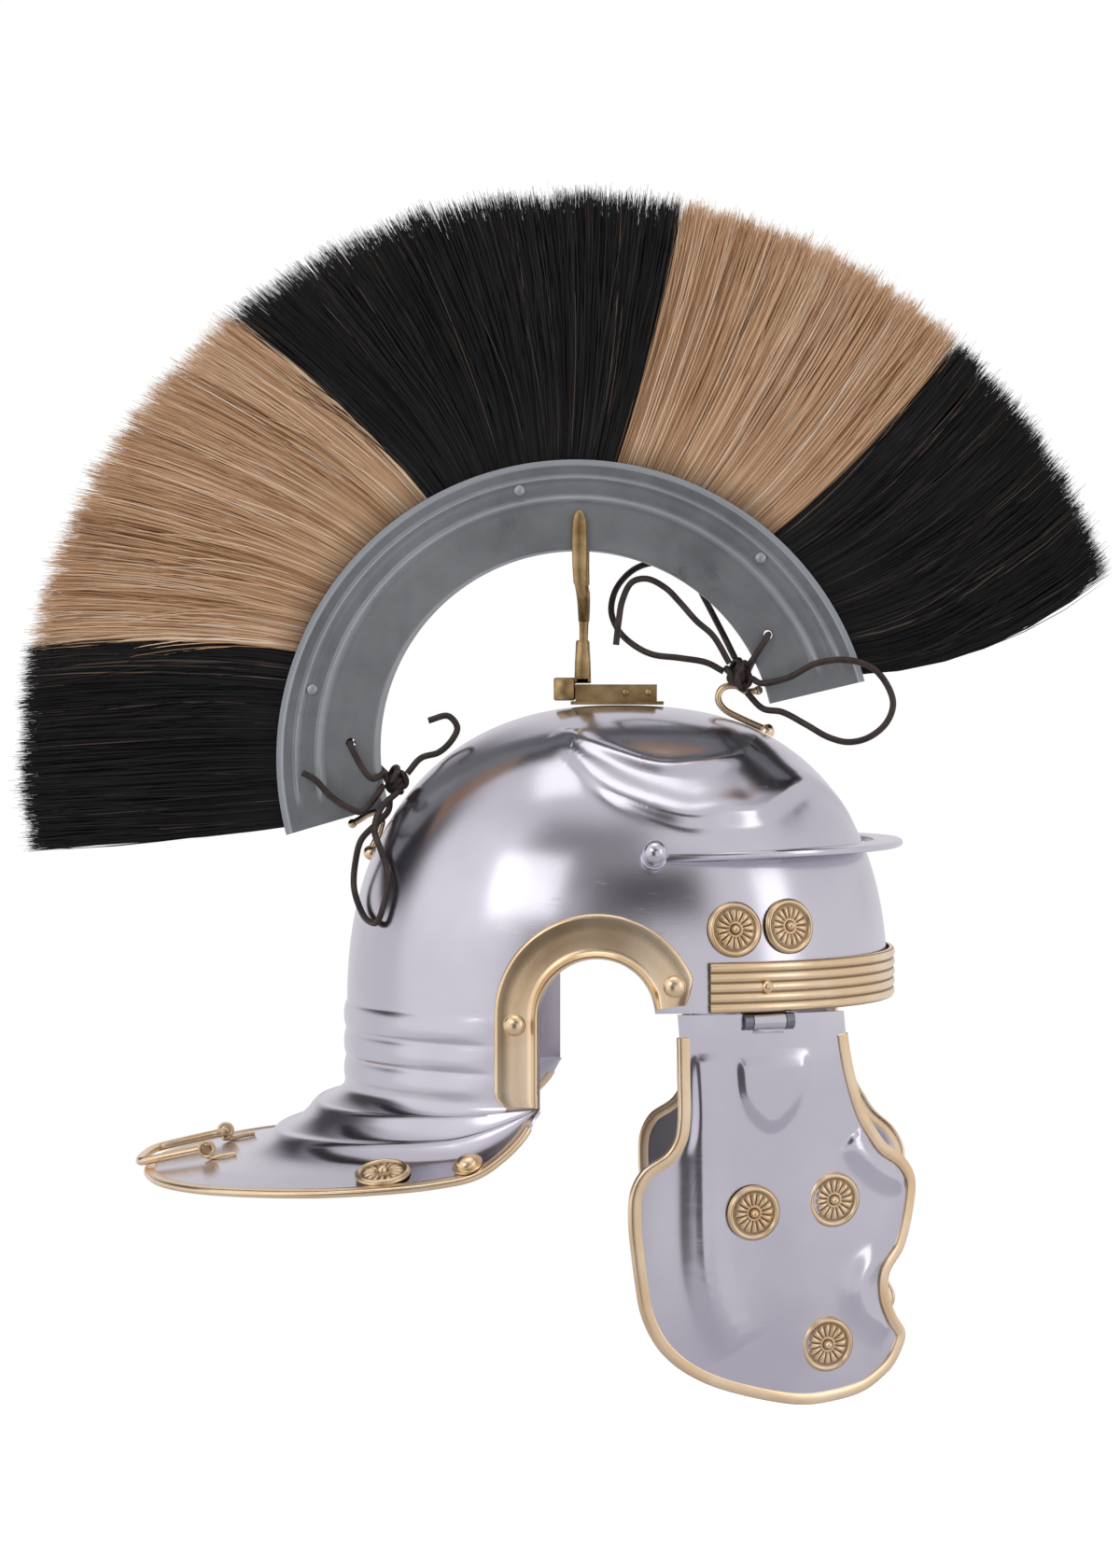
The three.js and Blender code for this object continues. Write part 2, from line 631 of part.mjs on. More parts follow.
function makeBowlRosettes() {
  for (const [side, sideName] of [[-1, 'right'], [1, 'left']]) {
    for (const { name, ahead, up } of BOWL_ROSETTES) {
      const p = bowlSide(BOWL_MIDDLE_X + ahead * BOWL_LENGTH / 2, up * BOWL_HEIGHT, side, GAP);
      addMesh(`bowl_rosette_${name}_${sideName}`, seat(rosette(), p, bowlNormal(p)), BRASS);
    }
  }
}

// Fittings of the neck guard: the clip is a washer under a domed rivet.

const clip = () => lathe([[0, 0], [6.4, 0], [6.4, 0.8], [4.8, 0.8], [3.7, 3.2], [0, 4.3]], 10);

function makeNeckFittings() {
  const trimFrames = guardFrames.slice(1, -1);
  addMesh('neck_trim', foldedTrim(trimFrames, STEEL, TRIM_WIDTH), BRASS);
  const row = GUARD_ROWS.length - 1;
  const fittings = [
    { kind: 'neck_rosette', index: 5, inward: 0.60, lift: 0, shape: rosette },
    { kind: 'neck_clip', index: 3, inward: 0.46, lift: 0.7, shape: clip },
  ];
  for (const [side, name] of [[-1, 'right'], [1, 'left']]) {
    for (const { kind, index, inward, lift, shape } of fittings) {
      const k = side < 0 ? index : guardOutline.length - 1 - index;
      const inner = guardPoint(guardOutline, k, row - 1);
      const p = guardOutline[k].clone().lerp(inner, inward);
      const normal = guardNormal(k);
      p.addScaledVector(normal, STEEL / 2 + TRIM_SHEET + 2 * GAP + lift);
      addMesh(`${kind}_${name}`, seat(shape(), p, normal), BRASS);
    }
  }
}

// Cheek outline by rows, top to bottom, as shares of the drop and of the width;
// rear and front are measured from the hinge's middle.
const CHEEK_ROWS = [
  { down: 0.000, rear: -0.305, front: 0.277 }, { down: 0.057, rear: -0.298, front: 0.286 },
  { down: 0.153, rear: -0.294, front: 0.312 }, { down: 0.261, rear: -0.291, front: 0.362 },
  { down: 0.309, rear: -0.300, front: 0.404 }, { down: 0.345, rear: -0.327, front: 0.442 },
  { down: 0.387, rear: -0.400, front: 0.519 }, { down: 0.441, rear: -0.435, front: 0.564 },
  { down: 0.520, rear: -0.440, front: 0.560 }, { down: 0.622, rear: -0.426, front: 0.523 },
  { down: 0.682, rear: -0.415, front: 0.468 }, { down: 0.736, rear: -0.403, front: 0.466 },
  { down: 0.790, rear: -0.379, front: 0.495 }, { down: 0.844, rear: -0.338, front: 0.538 },
  { down: 0.892, rear: -0.274, front: 0.518 }, { down: 0.922, rear: -0.212, front: 0.492 },
  { down: 0.946, rear: -0.142, front: 0.458 },
  { down: 0.982, rear: 0.015, front: 0.373 }, { down: 1.000, rear: 0.138, front: 0.231 },
];
const CHEEK_COLUMNS = 7;

// A cheek is made in its hinge's own frame: x along the hinge, y outward, z up, axis at 0.
function cheekPoint(along, down, out) {
  const curve = along * along / (2 * CHEEK_CURVE);
  const lean = radians(CHEEK_LEAN);
  return vector(along, -curve - down * Math.sin(lean) + out * Math.cos(lean),
    -down * Math.cos(lean) - out * Math.sin(lean));
}

// The outline from the top of one edge round the bottom to the other, in the sheet's plane.
function cheekOutline() {
  const plane = (share, down) => new THREE.Vector2(share * CHEEK_WIDTH, down * CHEEK_DROP - CHEEK_RISE);
  const rear = CHEEK_ROWS.map((row) => plane(row.rear, row.down));
  const front = CHEEK_ROWS.map((row) => plane(row.front, row.down));
  const loop = [...rear, ...front.reverse()];
  return loop.map((p, k) => {
    const before = loop[Math.max(k - 1, 0)];
    const after = loop[Math.min(k + 1, loop.length - 1)];
    const along = after.clone().sub(before).normalize();
    return { p, inward: new THREE.Vector2(along.y, -along.x) };
  });
}

function cheekSheet() {
  const inset = TRIM_SHEET + 1.5 * GAP;
  const loop = cheekOutline().map(({ p, inward }) => p.clone().addScaledVector(inward, inset));
  const rows = CHEEK_ROWS.length - 1;
  const face = (sign) => (i, j) => {
    const rear = loop[j];
    const front = loop[loop.length - 1 - j];
    const p = rear.clone().lerp(front, i / CHEEK_COLUMNS);
    return cheekPoint(p.x, p.y, sign * STEEL / 2);
  };
  return plate(face(1), face(-1), CHEEK_COLUMNS, rows);
}

// Pressed shapes of the cheek, outside face: rows as shares of the width and of the drop.
const CHEEK_PRESSINGS = [
  {
    width: 5,
    height: 1.8,
    rows: [
      { along: -0.115, down: 0.115 }, { along: -0.105, down: 0.21 }, { along: -0.05, down: 0.285 },
      { along: 0.02, down: 0.305 }, { along: 0.09, down: 0.285 }, { along: 0.14, down: 0.21 },
      { along: 0.15, down: 0.115 },
    ],
  },
  {
    width: 7,
    height: 2.2,
    rows: [
      { along: -0.215, down: 0.11 }, { along: -0.208, down: 0.26 }, { along: -0.200, down: 0.42 },
      { along: -0.190, down: 0.56 }, { along: -0.170, down: 0.70 }, { along: -0.120, down: 0.82 },
      { along: -0.05, down: 0.90 },
    ],
  },
  {
    width: 8,
    height: 2.4,
    rows: [
      { along: 0.30, down: 0.35 }, { along: 0.36, down: 0.385 }, { along: 0.43, down: 0.42 },
      { along: 0.465, down: 0.43 },
    ],
  },
  {
    width: 9,
    height: 2.6,
    rows: [
      { along: 0.37, down: 0.65 }, { along: 0.335, down: 0.71 }, { along: 0.36, down: 0.77 },
      { along: 0.42, down: 0.81 },
    ],
  },
];

function cheekPressings() {
  return CHEEK_PRESSINGS.map(({ width, height, rows }) => {
    const points = rows.map(({ along, down }) => cheekPoint(
      along * CHEEK_WIDTH, down * CHEEK_DROP - CHEEK_RISE, STEEL / 2));
    const normalAt = (p) => vector(p.x / CHEEK_CURVE, 1, -Math.sin(radians(CHEEK_LEAN))).normalize();
    return pressedRidge(points, width, height, normalAt);
  });
}

const rodAlongX = (radius, x0, x1, sides = 12) =>
  new THREE.CylinderGeometry(radius, radius, x1 - x0, sides).rotateZ(Math.PI / 2)
    .translate((x0 + x1) / 2, 0, 0);

// Room for the fixed knuckles beside the cheek's own knuckle.
function hingeNotch() {
  const half = HINGE_LENGTH / 2 + GAP;
  const drop = KNUCKLE_RADIUS + GAP;
  return block([-half, -2 * KNUCKLE_RADIUS, -drop], [half, 2 * KNUCKLE_RADIUS, 2 * KNUCKLE_RADIUS]);
}

function cheekBody() {
  const half = KNUCKLE_LENGTH / 2;
  const knuckle = rodAlongX(KNUCKLE_RADIUS, -half, half);
  const tongue = block([-half, -STEEL / 2, -KNUCKLE_RADIUS - 2], [half, STEEL / 2, 0]);
  const bore = rodAlongX(PIN_RADIUS + GAP, -HINGE_LENGTH, HINGE_LENGTH);
  const sheet = join(cut(join(cheekSheet(), ...cheekPressings()), hingeNotch()), tongue, knuckle);
  return cut(sheet, bore);
}

function cheekTrim() {
  const loop = cheekOutline().slice(1, -1);
  const frames = loop.map(({ p, inward }) => {
    const at = (q, out) => cheekPoint(q.x, q.y, out);
    const base = at(p, 0);
    const inner = at(p.clone().addScaledVector(inward, 1), 0);
    return { p: base, inward: inner.sub(base).normalize(), normal: at(p, 1).sub(base).normalize() };
  });
  return foldedTrim(frames, STEEL, TRIM_WIDTH);
}

const CHEEK_ROSETTES = [
  { name: 'rear', along: -0.042, down: 0.500 }, { name: 'front', along: 0.242, down: 0.479 },
  { name: 'low', along: 0.228, down: 0.848 },
];

function hingeLeaf() {
  const half = HINGE_LENGTH / 2;
  const inner = KNUCKLE_LENGTH / 2 + GAP;
  const pin = rodAlongX(PIN_RADIUS, -half + 1, half - 1);
  const height = RIM_Z - HINGE_Z + 0.8 * BAND_HEIGHT;
  const back = -(STEEL + 4.4);
  const leaf = block([-half + 1, back, -KNUCKLE_RADIUS + 2], [half - 1, back + 1, height]);
  const parts = [leaf];
  for (const side of [-1, 1]) {
    const [x0, x1] = side < 0 ? [-half, -inner] : [inner, half];
    parts.push(rodAlongX(KNUCKLE_RADIUS, x0, x1));
    parts.push(block([Math.max(x0, -half + 1), back, -1.2], [Math.min(x1, half - 1), -1, 1.2]));
  }
  const room = rodAlongX(KNUCKLE_RADIUS + GAP, -inner, inner);
  return join(cut(join(...parts), room), pin);
}

function makeCheeks() {
  for (const [side, name] of [[-1, 'right'], [1, 'left']]) {
    const hinge = new THREE.Group();
    const wall = bowlSide(HINGE_X, RIM_Z, side, -0.5 * STEEL);
    hinge.position.set(HINGE_X, wall.y, HINGE_Z);
    hinge.rotation.z = side < 0 ? radians(HINGE_TURN) : radians(-HINGE_TURN);
    helmet.add(hinge);
    // Pieces are made for the left side; the right ones are their mirror images.
    const place = (geometry) => {
      if (side > 0) return geometry;
      return bodyFrom(pointsOf(geometry).map((p) => p.setY(-p.y)), trianglesOf(geometry));
    };
    addMesh(`cheek_${name}`, place(cheekBody()), POLISHED_STEEL, hinge);
    addMesh(`cheek_trim_${name}`, place(cheekTrim()), BRASS, hinge);
    addMesh(`hinge_${name}`, place(hingeLeaf()), POLISHED_STEEL, hinge);
    for (const spot of CHEEK_ROSETTES) {
      const at = (out) => cheekPoint(spot.along * CHEEK_WIDTH, spot.down * CHEEK_DROP - CHEEK_RISE, out);
      const base = at(STEEL / 2 + GAP);
      const slope = vector(spot.along * CHEEK_WIDTH / CHEEK_CURVE, 1, -Math.sin(radians(CHEEK_LEAN)));
      addMesh(`cheek_rosette_${spot.name}_${name}`, place(seat(rosette(), base, slope)), BRASS, hinge);
    }
  }
}

function pointsOf(geometry) {
  const merged = geometry.attributes.normal ? withoutNormals(geometry) : geometry;
  const { array } = merged.attributes.position;
  return Array.from({ length: array.length / 3 }, (_, k) => vector(...array.slice(3 * k, 3 * k + 3)));
}

function trianglesOf(geometry) {
  const merged = geometry.attributes.normal ? withoutNormals(geometry) : geometry;
  const { array } = merged.index;
  return Array.from({ length: array.length / 3 }, (_, k) => [...array.slice(3 * k, 3 * k + 3)]);
}

function withoutNormals(geometry) {
  const bare = geometry.clone();
  bare.deleteAttribute('normal');
  bare.deleteAttribute('uv');
  return mergeVertices(bare, 1e-3);
}

// Crest box: a bent channel, its sides pressed with two beads and a rim.
const crestPoint = (angle, radius, y) => vector(CREST_X + radius * Math.cos(angle), y,
  CREST_Z + radius * Math.sin(angle));
const boxOuter = (angle) => BOX_INNER + BOX_DEPTH - BOX_TOP_LOSS * Math.sin(angle);
const BOX_BEADS = [
  { at: 0.00, high: 0 }, { at: 0.49, high: 0 }, { at: 0.54, high: 1 }, { at: 0.60, high: 0.2 },
  { at: 0.84, high: 1 }, { at: 1.00, high: 0.5 },
];
const BOX_HOLES = [{ x: CREST_X + 84.1, z: CREST_Z + 50.4 }, { x: CREST_X - 97.8, z: CREST_Z + 3.2 }];
const BOX_RIVETS = [{ turn: 46, at: 0.86 }, { turn: 102, at: 0.86 }, { turn: 167, at: 0.86 }];
const BEAD_HEIGHT = 1;

function makeCrestBox() {
  const steps = 18;
  const [start, end] = [radians(BOX_FRONT_ANGLE), radians(BOX_REAR_ANGLE)];
  const half = BOX_WIDTH / 2;
  const rightSide = BOX_BEADS.map(({ at, high }) => [at, -half - high * BEAD_HEIGHT]);
  const leftSide = [...BOX_BEADS].reverse().map(({ at, high }) => [at, half + high * BEAD_HEIGHT]);
  const floor = BOX_SHEET / BOX_DEPTH;
  const inside = [[1, half - BOX_SHEET], [floor, half - BOX_SHEET],
    [floor, -half + BOX_SHEET], [1, -half + BOX_SHEET]];
  const profile = [...rightSide].reverse().concat([...leftSide].reverse(), inside);
  const rings = [];
  for (let i = 0; i <= steps; i += 1) {
    const angle = THREE.MathUtils.lerp(start, end, i / steps);
    rings.push(profile.map(([at, y]) => crestPoint(angle,
      THREE.MathUtils.lerp(BOX_INNER, boxOuter(angle), at), y)));
  }
  const channel = loft(rings, profile.map(([x, y]) => new THREE.Vector2(x * BOX_DEPTH, y)));
  const holes = BOX_HOLES.map(({ x, z }) => rodAlongY(LACE_RADIUS + 0.7, x, z, -BOX_WIDTH, BOX_WIDTH, 8));
  const rivets = [];
  for (const { turn, at } of BOX_RIVETS) {
    const radius = THREE.MathUtils.lerp(BOX_INNER, boxOuter(radians(turn)), at - 0.14);
    for (const side of [-1, 1]) {
      const p = crestPoint(radians(turn), radius, side * (half - 0.3));
      rivets.push(seat(dome(2.5, 1.9), p, vector(0, side, 0)));
    }
  }
  addMesh('crest_box', join(cut(channel, ...holes), ...rivets), SHEET_STEEL);
}

// Hair bands: where each border leaves the box, how it leans and where its tips lie, in degrees.
const HAIR_BORDERS = [
  { root: 15.0, lean: 2, tip: 18.5 }, { root: 47.6, lean: 38, tip: 46.9 },
  { root: 82.0, lean: 71, tip: 78.6 }, { root: 120.0, lean: 129, tip: 128.7 },
  { root: 160.4, lean: 170, tip: 169.1 }, { root: 195.2, lean: 187, tip: 190.3 },
];
const HAIR_BANDS = [
  { name: 'hair_black_front', look: BLACK_HAIR }, { name: 'hair_tan_front', look: TAN_HAIR },
  { name: 'hair_black_top', look: BLACK_HAIR }, { name: 'hair_tan_rear', look: TAN_HAIR },
  { name: 'hair_black_rear', look: BLACK_HAIR },
];
const HAIR_ROWS = [
  { along: 0.00, thick: 0.53 }, { along: 0.26, thick: 0.66 }, { along: 0.55, thick: 0.90 },
  { along: 0.82, thick: 1.00 }, { along: 1.00, thick: 0.72 },
];

function makeHair() {
  const locks = 5;
  const columns = 2 * locks;
  const root = BOX_INNER + BOX_SHEET + GAP;
  const inside = BOX_WIDTH / 2 - BOX_SHEET - GAP;
  HAIR_BANDS.forEach(({ name, look }, band) => {
    const face = (side) => (i, j) => {
      const margin = 0.012;
      const share = THREE.MathUtils.lerp(margin, 1 - margin, i / columns);
      const mix = (key) => radians(THREE.MathUtils.lerp(
        HAIR_BORDERS[band][key], HAIR_BORDERS[band + 1][key], share));
      const ridge = i % 2;
      if (j === 0) return crestPoint(mix('root'), root, side * inside);
      const start = crestPoint(mix('root'), boxOuter(mix('root')), 0);
      if (j === 1) return start.setY(side * inside);
      const row = HAIR_ROWS[j - 1];
      const tip = crestPoint(mix('tip'), HAIR_RADIUS * (ridge ? 1 : 0.965), 0);
      const reach = 0.5 * start.distanceTo(tip);
      const bend = start.clone().add(vector(Math.cos(mix('lean')), 0, Math.sin(mix('lean')))
        .multiplyScalar(reach));
      const p = new THREE.QuadraticBezierCurve3(start, bend, tip).getPoint(row.along);
      return p.setY(side * HAIR_HALF_THICK * row.thick * (ridge ? 1 : 0.86));
    };
    addMesh(name, plate(face(1), face(-1), columns, HAIR_ROWS.length), look);
  });
}

// Crest carrier: a slide on the crown and the fork that stands in it.
function makeCrestCarrier() {
  const low = BOWL_HEIGHT + GAP;
  const back = CREST_X;
  const front = back + SLIDE_LENGTH;
  const half = SLIDE_WIDTH / 2;
  const flange = 1.4;
  const wall = 1.6;
  const slotLow = low + flange + wall;
  const slotHigh = low + flange + SLIDE_HEIGHT - wall;
  const base = block([back - 2, -half - 2, low], [front + 3, half + 2, low + flange]);
  const body = block([back, -half, low + flange - 0.1], [front, half, low + flange + SLIDE_HEIGHT]);
  const slot = block([back - 5, -half + wall, slotLow], [front - wall, half - wall, slotHigh]);
  const heads = [0.62, 0.9].map((share) => seat(dome(1.8, 1.4),
    vector(back + share * SLIDE_LENGTH, -half + 0.1, low + flange + 0.55 * SLIDE_HEIGHT), vector(0, -1, 0)));
  addMesh('crest_base', join(cut(join(base, body), slot), ...heads), OLD_BRASS);
  const tongueHalf = half - wall - GAP;
  const foot = low + flange + GAP;
  const tongue = block([back - 9, -tongueHalf, slotLow + GAP], [front - wall - 2, tongueHalf, slotHigh - GAP]);
  const heel = block([back - 9.5, -half, foot], [back - GAP, half, foot + SLIDE_HEIGHT + 2.6]);
  const stemLow = low + flange + SLIDE_HEIGHT + GAP;
  const crotch = CREST_Z + 0.665 * BOX_INNER;
  const prongLow = crotch + 13;
  const stem = [
    block([back - 9.5, -3, stemLow], [FORK_X + 3, 3, stemLow + 2.6]),
    block([FORK_X - 4, -3, stemLow], [FORK_X + 3, 3, stemLow + 19]),
    block([FORK_X - 2, -2.4, stemLow + 18.5], [FORK_X + 2, 2.4, crotch + 1]),
  ];
  const reach = BOX_WIDTH / 2 + BEAD_HEIGHT + GAP;
  const arms = [];
  for (const side of [-1, 1]) {
    const arm = new THREE.Shape();
    arm.moveTo(0, crotch - 3.2);
    arm.lineTo(side * (reach + PRONG_THICK), prongLow - 3);
    arm.lineTo(side * (reach + PRONG_THICK), prongLow);
    arm.lineTo(side * reach, prongLow);
    arm.lineTo(0, crotch + 2.4);
    arms.push(new THREE.ExtrudeGeometry(arm, { depth: 4.8, bevelEnabled: false })
      .rotateX(Math.PI / 2).rotateZ(Math.PI / 2).translate(FORK_X - 2.4, 0, 0));
    const prong = new THREE.Shape();
    const width = PRONG_WIDTH / 2;
    const top = stemLow - 2.4 + FORK_HEIGHT - 9;
    prong.moveTo(-width, prongLow - 2);
    prong.lineTo(-width, top - width);
    prong.absarc(0, top - width, width, Math.PI, 0, true);
    prong.lineTo(width, prongLow - 2);
    const y0 = side < 0 ? -reach - PRONG_THICK : reach;
    arms.push(new THREE.ExtrudeGeometry(prong, { depth: PRONG_THICK, bevelEnabled: false, curveSegments: 4 })
      .rotateX(Math.PI / 2).translate(FORK_X - 1.4, y0 + PRONG_THICK, 0));
  }
  addMesh('crest_fork', join(heel, tongue, ...stem, ...arms), OLD_BRASS);
}

// Lace hooks of brass wire, each with its rivet.
function makeHooks() {
  const stand = WIRE_RADIUS + GAP;
  const frontFoot = bowlTop(BOWL_MIDDLE_X + 65, 0, stand);
  const frontMiddle = bowlTop(BOWL_MIDDLE_X + 54, 0, stand);
  const frontHook = [frontFoot.toArray(), frontMiddle.toArray(),
    [frontMiddle.x - 8, 0, frontMiddle.z + 4.5], [frontMiddle.x - 10.5, 0, frontMiddle.z + 9],
    [frontMiddle.x - 8.5, 0, frontMiddle.z + 13.5], [frontMiddle.x - 3, 0, frontMiddle.z + 14.5],
    [frontMiddle.x + 2, 0, frontMiddle.z + 12], [frontMiddle.x + 7, 0, frontMiddle.z + 12.5]];
  const rearFoot = bowlWall(Math.PI, CREST_Z - 46, stand);
  const rearMiddle = bowlWall(Math.PI, CREST_Z - 36.83, stand);
  const rearHook = [rearFoot.toArray(), rearMiddle.toArray(), [rearMiddle.x + 1, 0, rearMiddle.z + 4.8],
    [rearMiddle.x - 1, 0, rearMiddle.z + 8.3], [rearMiddle.x - 5, 0, rearMiddle.z + 7.5],
    [rearMiddle.x - 8.5, 0, rearMiddle.z + 5.3], [rearMiddle.x - 12, 0, rearMiddle.z + 3.3]];
  for (const [name, path, foot] of [['hook_front', frontHook, frontFoot], ['hook_rear', rearHook, rearFoot]]) {
    const normal = bowlNormal(foot);
    const washer = foot.clone().addScaledVector(normal, -WIRE_RADIUS);
    const head = seat(dome(3.1, 2 * WIRE_RADIUS + 1.2), washer, normal);
    const end = new THREE.SphereGeometry(1.35 * WIRE_RADIUS, 6, 4).translate(...path.at(-1));
    addMesh(name, join(wire(path, WIRE_RADIUS, 6, 10), head, end), BRASS);
  }
}

// Carry handle at the nape, lying back over the guard's edge.
const handlePivot = () => {
  const middle = (guardOutline.length - 1) / 2;
  const edge = guardOutline[middle];
  const slope = (GUARD_DROP * (1 - GUARD_ROWS.at(-2).drop)) / ((1 - GUARD_ROWS.at(-2).out) * GUARD_LENGTH);
  const x = edge.x + HANDLE_LENGTH - 1;
  return vector(x, 0, edge.z + slope * (HANDLE_LENGTH - 1) + STEEL / 2 + 2 * HANDLE_WIRE + 2 * GAP);
};

function makeHandle() {
  const pivot = handlePivot();
  const tilt = Math.atan2(pivot.z - guardOutline[(guardOutline.length - 1) / 2].z - 4, HANDLE_LENGTH);
  const handle = new THREE.Group();
  handle.position.copy(pivot);
  helmet.add(handle);
  const back = (share, y) => [-share * HANDLE_LENGTH * Math.cos(tilt), y,
    -share * HANDLE_LENGTH * Math.sin(tilt)];
  const corner = 0.12;
  const half = HANDLE_HALF;
  const path = [[0, -half - 6, 0], [0, -half - 1.5, 0], back(0.05, -half), back(0.2, -half + 0.5),
    back(1 - corner, -half + 3), back(1, -half + 6), back(1, half - 6), back(1 - corner, half - 3),
    back(0.2, half - 0.5), back(0.05, half), [0, half + 1.5, 0], [0, half + 6, 0]];
  addMesh('carry_handle', wire(path, HANDLE_WIRE, 6, 22), BRASS, handle);
  for (const [side, name] of [[-1, 'right'], [1, 'left']]) {
    const y = side * (half + 3.8);
    const eye = rodAlongY(2 * HANDLE_WIRE, pivot.x, pivot.z, y - 1.6, y + 1.6, 10);
    const bore = rodAlongY(HANDLE_WIRE + GAP, pivot.x, pivot.z, y - 3, y + 3, 8);
    addMesh(`handle_eye_${name}`, cut(eye, bore), BRASS);
  }
}

// Laces: each route is one list of places, chosen by hand.
const FRONT_KNOT = { centre: [52, -8, 144.5], radii: [6.5, 8, 7.5] };
const REAR_KNOT = { centre: [-98.5, -9, 97.5], radii: [6, 7.5, 6.5] };
const LACE_ROUTES = {
  lace_front_loop: [[57.3, -14.2, 142.8], [61.5, -17.8, 140.8], [73.1, -21.0, 143.3], [84.6, -24.0, 149.3],
    [97.4, -26.0, 150.9], [108.6, -27.0, 147.7], [115.0, -27.0, 140.5], [117.8, -27.0, 132.1],
    [115.1, -26.0, 124.0], [107.6, -25.0, 117.6], [98.8, -24.0, 115.5], [90.4, -23.0, 117.5],
    [80.4, -20.0, 123.1], [70.4, -15.0, 128.3], [62.0, -11.0, 129.8], [55.2, -9.6, 136.6]],
  lace_front_bow: [[45.1, -8.0, 145.8], [37.6, -8.0, 149.7], [26.2, -7.0, 151.7], [13.9, -5.0, 153.3],
    [5.7, -2.0, 157.4], [-0.9, 1.0, 163.6], [-4.3, 5.0, 171.8], [-3.2, 9.0, 180.1], [0.8, 14.0, 186.8],
    [6.9, 18.0, 191.8], [14.7, 19.5, 193.9], [24.2, 19.5, 191.8], [32.5, 19.0, 185.2],
    [36.6, 18.0, 178.0], [41.0, 10.0, 169.5], [45.7, -2.0, 160.3], [49.9, -5.3, 151.8]],
  lace_front_tail: [[47.5, -11.9, 149.5], [40.4, -14.0, 161.4], [33.1, -13.0, 167.9], [26.2, -11.0, 175.7],
    [19.7, -10.0, 182.2], [11.5, -9.0, 186.2], [5.0, -8.0, 184.7], [0.9, -8.0, 176.9],
    [-0.7, -8.0, 168.0], [-1.9, -8.0, 157.4]],
  lace_front_tie_right: [[64.4, -13.4, 161.9], [64.3, -16.0, 161.6], [63.0, -17.8, 159.4], [57.6, -17.2, 151.0],
    [55.9, -14.4, 148.8]],
  lace_front_tie_left: [[64.4, 13.4, 161.9], [64.3, 16.2, 161.6], [63.0, 18.0, 159.4], [57.4, 17.8, 149.3],
    [55.5, 13.0, 145.5], [53.2, 1.2, 145.8]],
  lace_rear_loop: [[-100.6, -11.8, 90.9], [-101.0, -14.2, 85.3], [-106.0, -18.5, 79.5],
    [-112.2, -22.0, 72.7], [-114.5, -24.0, 63.5], [-115.0, -27.0, 53.5], [-111.4, -38.4, 44.6],
    [-106.7, -50.4, 39.8], [-102.0, -57.6, 39.6], [-99.1, -58.8, 46.8], [-97.6, -57.6, 54.3],
    [-98.5, -51.6, 61.5], [-102.0, -39.6, 69.2], [-105.6, -31.0, 77.6], [-103.5, -23.0, 86.5],
    [-96.9, -15.3, 93.3]],
  lace_rear_tail_out: [[-103.0, -15.2, 96.2], [-106.8, -18.4, 90.6], [-112.4, -19.5, 84.8],
    [-119.3, -20.0, 87.2], [-126.2, -20.0, 92.1], [-132.3, -20.0, 98.6], [-138.0, -20.0, 101.8]],
  lace_rear_tail_in: [[-93.1, -11.0, 101.2], [-87.1, -10.0, 108.0], [-79.3, -10.0, 110.5],
    [-73.6, -10.0, 115.8], [-71.2, -10.0, 121.5], [-75.2, -10.0, 126.4], [-83.8, -10.0, 124.4]],
  lace_rear_tie_right: [[-117.5, -13.4, 114.7], [-117.4, -16.5, 114.4], [-116.4, -18.4, 112.0],
    [-108.0, -18.2, 99.4], [-102.4, -15.3, 101.6]],
  lace_rear_tie_left: [[-117.5, 13.4, 114.7], [-117.4, 16.9, 114.4], [-116.4, 18.8, 112.0],
    [-109.5, 18.4, 104.5], [-102.3, 16.6, 98.0], [-99.3, -0.4, 98.3]],
};

function makeLaces() {
  for (const [name, { centre, radii }] of [['lace_front_knot', FRONT_KNOT], ['lace_rear_knot', REAR_KNOT]]) {
    const knot = new THREE.SphereGeometry(1, 9, 6).rotateX(Math.PI / 2).scale(...radii);
    addMesh(name, knot.translate(...centre), LEATHER);
  }
  for (const [name, route] of Object.entries(LACE_ROUTES)) {
    addMesh(name, wire(route, LACE_RADIUS, 8, route.length - 1), LEATHER);
  }
}

makeBowl();
makeBrowBand();
makeEarGuards();
makeBrowBar();
makeBowlRosettes();
makeNeckFittings();
makeCheeks();
makeCrestBox();
makeHair();
makeCrestCarrier();
makeHooks();
makeHandle();
makeLaces();

export default helmet;
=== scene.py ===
"""Looks of the Roman legionary helmet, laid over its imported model.

Sizes are worked out in millimetres, in the model's frame: +X is the brow, +Y the wearer's left,
+Z up, and the origin is where the head sits. They become metres when a mesh is made.
"""
import math
import random

import bpy
import numpy as np
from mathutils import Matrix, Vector


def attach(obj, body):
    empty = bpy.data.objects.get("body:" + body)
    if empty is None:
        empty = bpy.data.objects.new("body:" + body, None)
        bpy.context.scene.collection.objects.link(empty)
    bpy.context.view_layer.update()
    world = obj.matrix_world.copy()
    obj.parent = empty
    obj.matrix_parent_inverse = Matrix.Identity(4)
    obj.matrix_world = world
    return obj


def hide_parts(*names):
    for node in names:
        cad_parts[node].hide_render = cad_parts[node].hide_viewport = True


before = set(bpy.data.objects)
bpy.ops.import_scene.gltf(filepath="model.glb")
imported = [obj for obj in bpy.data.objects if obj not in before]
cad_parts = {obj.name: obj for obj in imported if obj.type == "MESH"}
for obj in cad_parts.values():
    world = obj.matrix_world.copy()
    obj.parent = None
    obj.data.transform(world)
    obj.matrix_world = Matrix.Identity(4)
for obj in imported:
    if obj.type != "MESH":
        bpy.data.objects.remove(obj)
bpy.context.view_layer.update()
MM = 0.001
SIDES = ((-1, "right"), (1, "left"))
